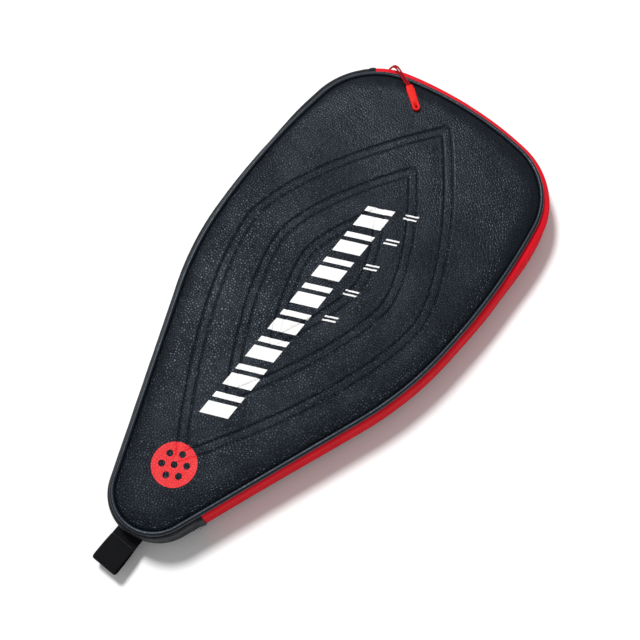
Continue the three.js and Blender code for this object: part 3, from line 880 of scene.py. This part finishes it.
def build_front_panel():
    tick_lines = [(line, line + TICK_WIDTH) for line in TICK_LINES]
    prints = [
        ("bars", slanted_rows(BAR_SIDES, BAR_START, BAR_PITCH, BAR_GROUPS, BARS), WHITE_INK),
        ("ticks", slanted_rows(TICK_SIDES, TICK_START, TICK_PITCH, TICKS, tick_lines), WHITE_INK),
        ("ball", ball_shapes(), RED_INK),
    ]
    outlines = [shape for _, shapes, _ in prints for shape in shapes]
    border, points = panel_points(1.45 * MM, CHANNELS)
    points = points[nearest_distance(points, outlines) > 0.45 * MM]
    places, triangles, border = triangulate(border, points, outlines)

    def relief(at, depth, s):
        return emboss(at, depth) + cloth_relief(at, depth, s, 1.0)

    front, outer = skin("front_skin", places, triangles, border, relief, BLACK_LEATHER)
    fasten(front, "front", "leather", "skin")
    for name, shapes, look in prints:
        bend(ink_piece(f"front_ink_{name}", outer, triangles, shapes, look), "leather")


def build_back_panel():
    places, triangles, border = triangulate(*panel_points(2.4 * MM, []))

    def relief(at, depth, s):
        return cloth_relief(at, depth, s, 40.0) - 0.3 * MM

    back = skin("back_skin_leather", places, triangles, border, relief, BLACK_LEATHER)[0]
    fasten(back, "back", "leather", "skin")


def build_padding():
    """Foam and lining of both panels."""
    foam_edge = PANEL_EDGE - LEATHER - 0.4 * MM

    def foam_top(_, depth):
        return SHOULDER + crown(depth) - SKIN_DEPTH - 0.3 * MM

    def foam_bottom(points, _):
        return np.full(len(points), PANEL_BOTTOM)

    def lining_wave(points):
        return 0.12 * MM * field(points, 24 * MM, 71.0)

    def lining_top(points, _):
        return LINING_TOP - 0.1 * MM + lining_wave(points)

    def lining_bottom(points, _):
        return LINING_BOTTOM + lining_wave(points)

    for side in ("front", "back"):
        foam = plate(f"{side}_foam_pad", foam_edge, foam_top, foam_bottom, 6 * MM, FOAM_GREY)
        lining = plate(
            f"{side}_lining_cloth", PANEL_EDGE - MM, lining_top, lining_bottom, 4 * MM, LINING_BLACK
        )
        fasten(foam, side, "foam", "foam")
        fasten(lining, side, "lining", "lining")


# ---- strips round the rim -----------------------------------------------------------------


def piping_profile(s, seed):
    """A covered cord, not quite even in size and lie."""
    a = 2 * math.pi * np.arange(16) / 16
    radius = PIPING_RADIUS * (1 + 0.035 * wander(s, 9 * MM, seed))[:, None]
    lie = 0.12 * MM * wander(s, 30 * MM, seed + 3)[:, None]
    n = radius * np.cos(a) - PIPING_RADIUS - PIPING_IN
    z = radius * np.sin(a) + PIPING_TOP - PIPING_RADIUS + lie
    return np.stack([n, z], axis=-1)


BINDING_MIDDLE = -6.6 * MM
BINDING_HALF = 2.4 * MM


def binding_profile():
    """A folded tape with soft corners, over the raw edges inside the seam."""
    z_middle, z_half = (BINDING_TOP + BINDING_BOTTOM) / 2, (BINDING_TOP - BINDING_BOTTOM) / 2
    a = 2 * math.pi * np.arange(20) / 20
    n = BINDING_MIDDLE + BINDING_HALF * np.sign(np.cos(a)) * np.abs(np.cos(a)) ** 0.35
    z = z_middle + z_half * np.sign(np.sin(a)) * np.abs(np.sin(a)) ** 0.6
    return np.stack([n, z], axis=-1)


def build_rim_strips():
    s = all_round(1.8 * MM)
    for side, seed in (("front", 11.0), ("back", 23.0)):
        piping = sweep(f"{side}_piping_cord", piping_profile(s, seed), s, PIPING_HIDE, closed=True)
        binding = sweep(f"{side}_binding_tape", binding_profile(), s, BINDING_BLACK, closed=True)
        at, out, along = rim.axes(all_round(3.3 * MM))
        places = at + BINDING_MIDDLE * out + (0, 0, BINDING_BOTTOM)
        down = np.tile([0.0, 0.0, -1.0], (len(at), 1))
        seam = stitches(f"{side}_binding_stitches", places, along, down, 2.6 * MM, 0.2 * MM, THREAD_BLACK)
        fasten(piping, side, "piping", "piping")
        fasten(binding, side, "binding", "binding")
        fasten(seam, side, "binding")


def eased(x, keys):
    """Moves smoothly from each key's value to the next."""
    places, values = np.array(keys, float).T
    k = np.clip(np.searchsorted(places, x) - 1, 0, len(places) - 2)
    f = np.clip((x - places[k]) / (places[k + 1] - places[k]), 0, 1)
    return values[k] + (values[k + 1] - values[k]) * f * f * (3 - 2 * f)


def swell(s):
    """How far the wall swells or sinks at places along the rim."""
    from_head = (np.mod(s, rim.length) - rim.length / 2) / MM
    zip_side = eased(np.abs(from_head), ZIP_SIDE_SWELL)
    spine_side = eased(np.abs(from_head), SPINE_SIDE_SWELL)
    return MM * np.where(from_head > 0, zip_side, spine_side)


def wall_face(z, s):
    """n of the wall's outer face: a row of heights for each place along the rim.

    The wall sinks as a whole, but it only swells above and below its middle, where the zip runs.
    """
    u = np.abs((z - MID) / (WALL_HIGH - MID))
    shape = 1 - u**WALL_BOXINESS
    amount = np.atleast_1d(swell(s))[:, None]
    full = WALL_TUCK + (WALL_BULGE - WALL_TUCK) * shape + WALL_PUFF * u**2 * shape
    return full + np.minimum(amount, 0) * shape + np.maximum(amount, 0) * 2 * u**2 * shape


def wall_profile(s, inset, thickness, low, high, steps, wave=0.0):
    """A curved strip that follows the wall between two heights; wave shifts it at each station."""
    z = np.linspace(low, high, steps + 1)
    slack = np.cos(np.pi * (z - MID) / (2 * (WALL_HIGH - MID)))
    face = wall_face(z, s) - inset + np.atleast_1d(wave)[:, None] * slack
    n = np.concatenate([face, face[:, ::-1] - thickness], axis=1)
    return np.stack([n, np.broadcast_to(np.concatenate([z, z[::-1]]), n.shape)], axis=-1)


def wall_wave(s):
    """The wall leather's unevenness along the rim."""
    return 0.35 * MM * wander(s, 22 * MM, 51.0) + 0.12 * MM * wander(s, 6 * MM, 57.0)


def build_wall():
    s = stations(ZIP_END, rim.length + ZIP_START, 1.8 * MM)
    wave = wall_wave(s)
    leather_profile = wall_profile(s, 0, WALL_LEATHER, WALL_LOW, WALL_HIGH, 24, wave)
    wall = sweep("gusset_leather", leather_profile, s, WALL_HIDE)
    hold(wall, "case_body", "wall_leather", "gusset_skin")
    inset = WALL_LEATHER + 0.3 * MM
    steps = 14
    layer = wall_profile(s, inset, 0.7 * MM, TOP - WALL_TOP, WALL_TOP, steps, wave)
    lining = sweep("gusset_lining_cloth", layer, s, LINING_BLACK)
    hold(lining, "case_body", "lining", "gusset_lining")
    for name, end, side in (("zip_end_fold", ZIP_END, 1), ("zip_start_fold", ZIP_START, -1)):
        build_wall_end(name, end, side)


def build_wall_end(name, end, side):
    """The wall's leather folded back over the end of the zip, with a row of stitches across it."""
    edge, back = end - side * 1.6 * MM, end + side * 3.4 * MM
    s = stations(min(edge, back), max(edge, back), 0.5 * MM)
    rise = 0.4 * MM * np.clip(np.sin(np.pi * (s - s[0]) / (s[-1] - s[0])), 0, 1) ** 0.4
    steps = 26
    profile = wall_profile(s, -FOLD_LIFT, MM, WALL_LOW, WALL_HIGH, steps, wall_wave(s) + rise)
    hold(sweep(name, profile, s, WALL_HIDE), "case_body", "wall_leather")
    at = end + side * 0.7 * MM
    face = profile[np.argmin(np.abs(s - at)), : steps + 1]
    z = MID + np.arange(-9.5, 9.6, 2.7) * MM
    n = np.interp(z, face[:, 1], face[:, 0]) + 0.1 * MM
    centre, outward, forward = rim.axes(at)
    places = centre + n[:, None] * outward
    places[:, 2] = z
    along = np.gradient(n, z)[:, None] * outward + (0, 0, 1)
    along /= np.linalg.norm(along, axis=1)[:, None]
    out = np.cross(along, forward)
    out *= np.sign(out @ outward)[:, None]
    sewn = stitches(f"{name}_stitches", places, along, out, 2.1 * MM, 0.24 * MM, THREAD_BLACK)
    hold(sewn, "case_body", "wall_leather")


# ---- zip ----------------------------------------------------------------------------------


TAPE_SEAM = 5.2 * MM             # from the slit to each tape's stitches
TOOTH_PITCH = 1.8 * MM
TOOTH_RADIUS = (0.62 * MM, 1.1 * MM)     # outward and upward
TOOTH_MIDDLE = (1.7 * MM, 1.75 * MM)     # outside the rim and above the slit
TOOTH_STEPS = 10                 # points in one turn of the coil


def tape_profile(s):
    """The front tape in section: it follows the wall, and its edge rolls in at the slit."""
    profile = wall_profile(s, 0, TAPE, MID + SLIT, WALL_HIGH, 12)
    profile[..., 0] -= 0.45 * MM * np.exp(-(((profile[..., 1] - MID - SLIT) / (0.8 * MM)) ** 2))
    return profile


def tape_stitches(name, z):
    """The seam that holds a zip tape to its folded backing."""
    s = stations(ZIP_START + 4 * MM, ZIP_END - 4 * MM, 3 * MM)
    at, out, along = rim.axes(s)
    places = at + (wall_face(np.array([z]), s) + 0.06 * MM) * out + (0, 0, z)
    return stitches(name, places, along, out, 2.2 * MM, 0.17 * MM, THREAD_RED)


def coil(name, start, end, phase, look):
    """One row of nylon teeth: a flattened helix, as far from its partner as the slider's neck needs."""
    t = np.arange(0, (end - start) / TOOTH_PITCH * 2 * math.pi, 2 * math.pi / TOOTH_STEPS)
    s = start + TOOTH_PITCH * (t / (2 * math.pi) + phase)
    n = TOOTH_MIDDLE[0] + TOOTH_RADIUS[0] * np.sin(t) + np.minimum(swell(s), 0)
    path = np.column_stack([rim.offset(s, n), MID + TOOTH_MIDDLE[1] + TOOTH_RADIUS[1] * np.cos(t)])
    return tube(name, path, 0.3 * MM, 6, look)


def on_rim(s):
    """A frame at a place on the rim, at height 0: x along it, y outward, z up."""
    x, y, h = (float(v) for v in rim.at(s))
    return Matrix.Translation((x, y, 0)) @ Matrix.Rotation(-h, 4, "Z")


def facing_out(place, n, z=MID):
    """Turns such a frame to have y up and z outward, and moves it n out and z up."""
    return place @ Matrix.Translation((0, n, z)) @ Matrix.Rotation(-math.pi / 2, 4, "X")


def build_stop(name, s, z, half_height):
    """A small metal bar across the teeth."""
    out = float(np.minimum(swell(s), 0)) + 0.5 * MM
    outline = rounded_outline(1.3 * MM, half_height, 0.5 * MM)
    place = facing_out(on_rim(s), out, z)
    stop = rounded_slab(f"{name}_metal", outline, 1.95 * MM, 0.25 * MM, place, METAL_BLACK)
    hold(stop, "case_body", "zip_metal", name)


def build_zip():
    s = stations(ZIP_START, ZIP_END, 1.5 * MM)
    whole = ["front_zip_tape_flap", "front_zip_tape_head_end", "front_zip_tape_tail_end"]
    bend(sweep("front_zip_tape", tape_profile(s), s, TAPE_RED), "zip_tape", *whole)
    lower = tape_profile(s) * (1, -1) + (0, TOP)
    hold(sweep("back_zip_tape_cloth", lower, s, TAPE_RED), "case_body", "zip_tape", "back_zip_tape")
    bend(tape_stitches("front_zip_stitches", MID + TAPE_SEAM), "zip_tape")
    hold(tape_stitches("back_zip_stitches", MID - TAPE_SEAM), "case_body", "zip_tape")
    start, end = ZIP_START + 6 * MM, ZIP_END - 6 * MM
    teeth = coil("front_zip_teeth", start, end, 0.0, COIL_RED)
    bend(teeth, "zip_coil", "front_zip_coil_flap", "front_zip_coil_head_end")
    lower_teeth = coil("back_zip_teeth", start, end, 0.5, COIL_RED)
    mirror = Matrix.Translation((0, 0, TOP)) @ Matrix.Scale(-1, 4, (0, 0, 1))
    lower_teeth.data.transform(mirror)
    lower_teeth.data.flip_normals()
    hold(lower_teeth, "case_body", "zip_coil", "back_zip_coil")
    build_stop("zip_start_stop", ZIP_START + 2.6 * MM, MID, 2.3 * MM)
    build_stop("zip_end_stop", ZIP_END - 4 * MM, MID - 1.4 * MM, 1.1 * MM)


def rounded_slab(name, outline, thickness, bevel, place, look):
    """A flat piece with rounded edges; place carries it from its own plane to the row frame."""
    bm = bmesh.new()
    face = bm.faces.new([bm.verts.new((x, y, 0)) for x, y in outline])
    made = bmesh.ops.extrude_face_region(bm, geom=[face])["geom"]
    top = [v for v in made if isinstance(v, bmesh.types.BMVert)]
    bmesh.ops.translate(bm, verts=top, vec=(0, 0, thickness))
    bmesh.ops.recalc_face_normals(bm, faces=bm.faces)
    sharp = [e for e in bm.edges if e.calc_face_angle(0) > math.radians(60)]
    bmesh.ops.bevel(bm, geom=sharp, offset=bevel, segments=4, profile=0.6, affect="EDGES")
    bmesh.ops.transform(bm, matrix=place, verts=bm.verts)
    mesh = bpy.data.meshes.new(name)
    bm.to_mesh(mesh)
    bm.free()
    return show(name, mesh, look)


def arc_points(cx, cy, radius, start, end, count):
    """Points along an arc between two angles in degrees."""
    a = np.radians(np.linspace(start, end, count))
    return [(cx + radius * math.cos(v), cy + radius * math.sin(v)) for v in a]


def rounded_outline(half_x, half_y, radius, taper=0.0):
    """A rectangle with round corners, narrower by taper at its far end."""
    far = half_y - taper
    points = []
    for k, (side, y) in enumerate(((1, far), (-1, half_y), (-1, -half_y), (1, -far))):
        cx, cy = side * (half_x - radius), y - math.copysign(radius, y)
        points += arc_points(cx, cy, radius, 90 * k, 90 * k + 90, 6)
    return points


SLIDER_PLACE = on_rim(rim.heading_at(SLIDER_HEADING))
SLIDER_LENGTH, SLIDER_WIDTH, SLIDER_PLATE = 11 * MM, 9 * MM, 1.2 * MM
TOP_PLATE_AT = 4.75 * MM         # outside the rim
BOTTOM_PLATE_AT = -1.6 * MM
ON_BOTTOM_PLATE = -0.6 * MM      # where the neck and the rails start, a little inside that plate


def slider_bridge():
    """The arch over the top plate that the cord goes through, broader than it is thick."""
    t = np.linspace(0, math.pi, 25)
    arch_y = TOP_PLATE_AT + SLIDER_PLATE - 0.3 * MM + 3.55 * MM * np.sin(t) ** 0.45
    path = np.stack([5 * MM * np.cos(t), arch_y, np.full_like(t, MID)], axis=1)
    sides = 12
    rings = tube_rings(path, 0.62 * MM, sides)[0]
    rings[..., 2] = MID + 1.7 * (rings[..., 2] - MID)
    around = np.arange(sides) * 0.3 * MM
    bridge = loft("slider_bridge", rings, METAL_BLACK, spread(path), around, False)
    bridge.data.transform(SLIDER_PLACE)
    return bridge


def build_slider():
    """Two plates with a neck between them, a rail at each side of the bottom one, and the bridge."""
    plate = rounded_outline(SLIDER_LENGTH / 2, SLIDER_WIDTH / 2, 2.2 * MM, 1.1 * MM)
    neck = rounded_outline(0.9 * MM, 0.25 * MM, 0.2 * MM)
    rail = rounded_outline(SLIDER_LENGTH / 2 - 0.4 * MM, 0.45 * MM, 0.3 * MM)
    neck_place = facing_out(SLIDER_PLACE, ON_BOTTOM_PLATE) @ Matrix.Translation((-3.6 * MM, 0, 0))
    slabs = [
        ("top", plate, SLIDER_PLATE, 0.35 * MM, facing_out(SLIDER_PLACE, TOP_PLATE_AT)),
        ("bottom", plate, SLIDER_PLATE, 0.35 * MM, facing_out(SLIDER_PLACE, BOTTOM_PLATE_AT)),
        ("neck", neck, 5.7 * MM, 0.1 * MM, neck_place),
    ]
    for side in (-1, 1):
        place = facing_out(SLIDER_PLACE, ON_BOTTOM_PLATE, MID + side * 3.95 * MM)
        slabs.append(("rail", rail, 2.4 * MM, 0.2 * MM, place))
    parts = [rounded_slab(f"slider_{name}", *slab, METAL_BLACK) for name, *slab in slabs]
    slider = join("zip_slider_body", [*parts, slider_bridge()])
    hold(slider, "slider", "zip_metal", "zip_slider")


# Middle lines of the cord's two strands from the bridge bar towards the tab, in mm in the slider's
# axes: x along the zip, y outward, z up.
OUTER_STRAND = [
    (1, 11.3, 20), (3.2, 10.9, 25), (6.2, 8.8, 31.5),
    (10.2, 3.6, 37.1), (14.6, -2.9, 38.2), (18.9, -9.2, 38.9),
]
INNER_STRAND = [
    (-1, 7.1, 20), (1.3, 8, 25), (4.4, 7.4, 31.5),
    (8.3, 2.8, 37.1), (12.7, -3.8, 38.2), (17, -10, 38.9),
]
TAB_START = (21.6, -14.6, 39.7)
TAB_TURN = math.radians(-66.5)   # of the tab's length from the slider's x axis
STRAND_HALF = 1.05               # half of the distance between the strands where they go into the tab
CORD_INTO_TAB = 1.5
BAR_HEIGHT = 9.2                 # the bridge bar's middle, outside the rim
BAR_TURN_RADIUS = 2.05


def smooth_path(points, per_span=10):
    """A Catmull-Rom curve through points."""
    p = np.array(points, float)
    p = np.concatenate([[2 * p[0] - p[1]], p, [2 * p[-1] - p[-2]]])
    t = np.linspace(0, 1, per_span, endpoint=False)[:, None]
    spans = []
    for a, b, c, d in zip(p, p[1:], p[2:], p[3:]):
        square, cube = 2 * a - 5 * b + 4 * c - d, 3 * b - a - 3 * c + d
        spans.append(0.5 * (2 * b + (c - a) * t + square * t**2 + cube * t**3))
    return np.concatenate([*spans, p[-2:-1]])


def cord_route():
    """The cord's middle line in the row frame: down one strand, under the bridge bar, up the other."""
    along = np.array([math.cos(TAB_TURN), math.sin(TAB_TURN), 0])
    across = np.array([-math.sin(TAB_TURN), math.cos(TAB_TURN), 0])
    first, last = (TAB_START + side * STRAND_HALF * across for side in (1, -1))
    into = CORD_INTO_TAB * along
    turn = np.radians([-20, -55, -90, -125, -160])
    bar_y = BAR_HEIGHT + BAR_TURN_RADIUS * np.cos(turn)
    bar_z = MID / MM + BAR_TURN_RADIUS * np.sin(turn)
    bar = np.stack([0.85 * np.cos(turn), bar_y, bar_z], axis=1)
    route = [first + into, first, *OUTER_STRAND[::-1], *bar, *INNER_STRAND, last, last + into]
    path = smooth_path(np.array(route) * MM)
    place = np.array(SLIDER_PLACE)
    return path @ place[:3, :3].T + place[:3, 3]


def build_cord():
    """A two-ply cord: two threads twisted round its middle line."""
    route = cord_route()
    length = spread(route)
    even = np.arange(0, length[-1], 0.35 * MM)
    middle = np.stack([np.interp(even, length, route[:, k]) for k in range(3)], axis=1)
    normals, sideways = tube_rings(middle, 0.1 * MM, 4)[1:]
    plies = []
    for k in range(2):
        a = 2 * math.pi * even / (3.2 * MM) + math.pi * k
        path = middle + 0.43 * MM * (np.cos(a)[:, None] * normals + np.sin(a)[:, None] * sideways)
        plies.append(tube(f"cord_ply_{k}", path, 0.46 * MM, 8, CORD_RED))
    hold(join("pull_cord_twisted", plies), "puller", "pull_cord", "pull_cord")


def build_tab():
    """The moulded puller: a narrow collar, a gently waisted grip and a round end with an eye."""
    length, half, thick = 25.6 * MM, 3.5 * MM, 2.6 * MM
    eye_radius = 0.9 * MM
    collar = [(0, 2.75 * MM), (0, -2.75 * MM)]
    centre = length - half
    lower = [
        (3.4 * MM, -3.15 * MM), (4.6 * MM, -half),
        (9 * MM, -half + 0.1 * MM), (15 * MM, -half + 0.35 * MM),
    ]
    end = arc_points(centre, 0, half - 0.2 * MM, -90, 90, 15)
    upper = [(x, -y) for x, y in lower[::-1]]
    outline = [*collar, *lower, *end, *upper]
    place = (
        SLIDER_PLACE
        @ Matrix.Translation(Vector(TAB_START) * MM)
        @ Matrix.Rotation(TAB_TURN, 4, "Z")
        @ Matrix.Translation((0, 0, -thick / 2))
    )
    tab = rounded_slab("pull_tab_grip", outline, thick, 0.75 * MM, place, RUBBER_RED)
    drill = bmesh.new()
    bmesh.ops.create_cone(
        drill, cap_ends=True, segments=24, radius1=eye_radius, radius2=eye_radius, depth=3 * thick,
        matrix=place @ Matrix.Translation((centre + 0.4 * MM, 0, thick / 2)),
    )
    cutter = bpy.data.objects.new("drill", bpy.data.meshes.new("drill"))
    drill.to_mesh(cutter.data)
    drill.free()
    bpy.context.scene.collection.objects.link(cutter)
    modifier = tab.modifiers.new("eye", "BOOLEAN")
    modifier.object = cutter
    modifier.solver = "EXACT"
    shaped = bpy.data.meshes.new_from_object(tab.evaluated_get(bpy.context.evaluated_depsgraph_get()))
    tab.modifiers.clear()
    tab.data = shaped
    bpy.data.objects.remove(cutter)
    hold(tab, "puller", "pull_rubber", "pull_tab")


def build_frayed_threads():
    """Loose thread ends just past the end of the zip, on the lower half of the wall."""
    bends = [(0, 0, 0), (0.5, 0.3, 0), (0.9, 1.2, 0.4), (1, 2, 1.2)]     # share of reach, mm aside, mm down
    whiskers = []
    for k in range(7):
        s = ZIP_END + (1 + 1.4 * k) * MM
        at, out, along = rim.axes(s)
        reach = (1.6 + 1.5 * (k * 0.618 % 1)) * MM
        lean = (k * 0.37 % 1 - 0.5) * 2
        z = 9 * MM + 1.1 * k * MM
        base = at + (0, 0, z) + out * (wall_face(np.array([z]), s)[0, 0] - 0.2 * MM)
        points = [
            base + out * reach * share + along * lean * aside * MM - np.array([0, 0, down * MM])
            for share, aside, down in bends
        ]
        path = smooth_path(points, 6)
        radius = np.linspace(0.13, 0.05, len(path)) * MM
        whiskers.append(tube(f"whisker_{k}", path, radius, 5, THREAD_BLACK))
    hold(join("frayed_threads", whiskers), "case_body", "wall_leather")


# ---- webbing loop -------------------------------------------------------------------------

LOOP_HINGE = JOINTS["loop_flex"]["pos_m"]
WEB = 1.4 * MM
WEB_MIDDLE = WEB / 2 + 0.05 * MM # from the sewn layers' seam to each one's middle
WEB_PITCH = 0.85 * MM            # from thread to thread across the webbing
LOOP_PART = 3.5 * MM             # half of the distance between the two layers' middles at the fold


def loop_middle_line():
    """The webbing's middle line in (y, z) about its height: in, round the fold, and out again."""
    fold_y = LOOP_TIP + LOOP_PART + WEB / 2
    root_y = LOOP_HINGE[1]
    t = np.linspace(0, 1, 60)
    sewn_y = np.linspace(ANCHOR_END, root_y, 30, endpoint=False)
    sewn = np.stack([sewn_y, np.full_like(sewn_y, WEB_MIDDLE)], axis=1)
    a, b, c = ((root_y, WEB_MIDDLE), (root_y - 6 * MM, LOOP_PART), (fold_y, LOOP_PART))
    part = np.outer((1 - t) ** 2, a) + np.outer(2 * t * (1 - t), b) + np.outer(t**2, c)
    turn = np.radians(np.linspace(90, 180, 30))[1:]
    half_fold = np.stack([fold_y + LOOP_PART * np.cos(turn), LOOP_PART * np.sin(turn)], 1)
    upper = np.concatenate([sewn, part, half_fold])
    lower = upper[-2::-1] * (1, -1)
    whole = np.concatenate([upper, lower])
    length = spread(whole)
    even = np.linspace(0, length[-1], round(length[-1] / (0.42 * MM)))
    return np.stack([np.interp(even, length, whole[:, k]) for k in (0, 1)], axis=1), even


def fasten_to_loop(obj, *nodes):
    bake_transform(obj)
    finish_piece(obj, nodes)


def build_loop():
    """The webbing with its weave in relief, and a row of stitches across it at the wall."""
    line, s = loop_middle_line()
    tangent = np.gradient(line, axis=0)
    tangent /= np.linalg.norm(tangent, axis=1)[:, None]
    normal = np.stack([-tangent[:, 1], tangent[:, 0]], axis=1)
    across = np.linspace(-1, 1, 53)
    edge = np.sqrt(np.clip(1 - np.abs(across) ** 14, 0, 1))
    x = np.concatenate([across, across[::-1]]) * LOOP_HALF_WIDTH
    half = np.concatenate([edge, -edge[::-1]]) * (WEB / 2 - 0.12 * MM)
    threads = np.sin(math.pi * x / WEB_PITCH)[None]
    weave = threads * np.sin(math.pi * s[:, None] / (0.84 * MM))
    ribs = 0.09 * MM * weave + 0.05 * MM * threads
    out = half[None] + np.sign(half)[None] * ribs * np.abs(half[None]) / (WEB / 2)
    y, z = (line[:, k : k + 1] + normal[:, k : k + 1] * out for k in (0, 1))
    rings = np.stack([np.broadcast_to(x, out.shape), y, LOOP_HEIGHT + z], axis=-1)
    webbing = loft("hanging_webbing", rings, WEBBING_BLACK, s, x, False)
    fasten_to_loop(webbing, "webbing_loop", "loop_anchor")
    row = np.arange(-LOOP_HALF_WIDTH + 2 * MM, LOOP_HALF_WIDTH - 1.9 * MM, 2.4 * MM)
    up = np.tile([0.0, 0.0, 1.0], (len(row), 1))
    across = np.tile([1.0, 0.0, 0.0], (len(row), 1))
    tack_y = LOOP_HINGE[1] - 1.2 * MM
    upper = line[: len(line) // 2]
    tack_z = LOOP_HEIGHT + np.interp(-tack_y, -upper[:, 0], upper[:, 1]) + WEB / 2
    places = np.column_stack([row, np.full_like(row, tack_y), np.full_like(row, tack_z)])
    tack = stitches("webbing_stitches", places, across, up, 1.9 * MM, 0.2 * MM, THREAD_BLACK)
    fasten_to_loop(tack)


# ---- stage --------------------------------------------------------------------------------

TILT = math.radians(20.1)        # of the view from straight down
SWING = math.radians(-46.04)     # of the camera's side, from +X towards +Y
ROLL = math.radians(38.84)
DISTANCE = 0.787
TARGET = Vector((0.0128, 0.0120, MID))
LENS = 55.26

away = Vector((math.sin(TILT) * math.cos(SWING), math.sin(TILT) * math.sin(SWING), math.cos(TILT)))
level = Vector((0, 1, 0)).cross(away).normalized()
rise = away.cross(level)
RIGHT = level * math.cos(ROLL) + rise * math.sin(ROLL)
UP = -level * math.sin(ROLL) + rise * math.cos(ROLL)


def build_camera():
    camera = bpy.data.objects.new("camera", bpy.data.cameras.new("camera"))
    camera.data.lens = LENS
    camera.data.clip_start = 0.01
    axes = Matrix((RIGHT, UP, away)).transposed().to_4x4()
    camera.matrix_world = Matrix.Translation(TARGET + away * DISTANCE) @ axes
    bpy.context.scene.collection.objects.link(camera)
    bpy.context.scene.camera = camera


def area_light(name, place, size, power):
    """A round lamp that shines at the case from a place beside it."""
    light = bpy.data.lights.new(name, "AREA")
    light.shape = "DISK"
    light.size = size
    light.energy = power
    obj = bpy.data.objects.new(name, light)
    obj.location = TARGET + place
    obj.rotation_mode = "QUATERNION"
    obj.rotation_quaternion = (-place).to_track_quat("-Z", "Y")
    bpy.context.scene.collection.objects.link(obj)


def build_stage():
    look = Look("floor_white", (0.9, 0.9, 0.9), 0.7, coords="object")
    look.colour(look.noise(0.4, 3), (0.89, 0.89, 0.89), (0.92, 0.92, 0.92))
    bpy.ops.mesh.primitive_plane_add(size=12, location=(0, 0, 0))
    floor = bpy.context.object
    floor.name = "floor"
    floor.data.materials.append(look.done())
    world = bpy.data.worlds.new("studio")
    bpy.context.scene.world = world
    world.use_nodes = True
    world.node_tree.nodes["Background"].inputs["Color"].default_value = (1, 1, 1, 1)
    world.node_tree.nodes["Background"].inputs["Strength"].default_value = 0.42
    area_light("key", -RIGHT * 0.62 + UP * 1.5 + away * 1.55, 0.5, 49)
    area_light("side", RIGHT * 1.6 - UP * 0.9 + away * 0.5, 0.5, 5)
    bpy.context.scene.view_settings.view_transform = "Standard"


build_camera()
build_stage()
build_front_panel()
build_back_panel()
build_padding()
build_rim_strips()
build_wall()
build_zip()
build_slider()
build_cord()
build_tab()
build_frayed_threads()
build_loop()
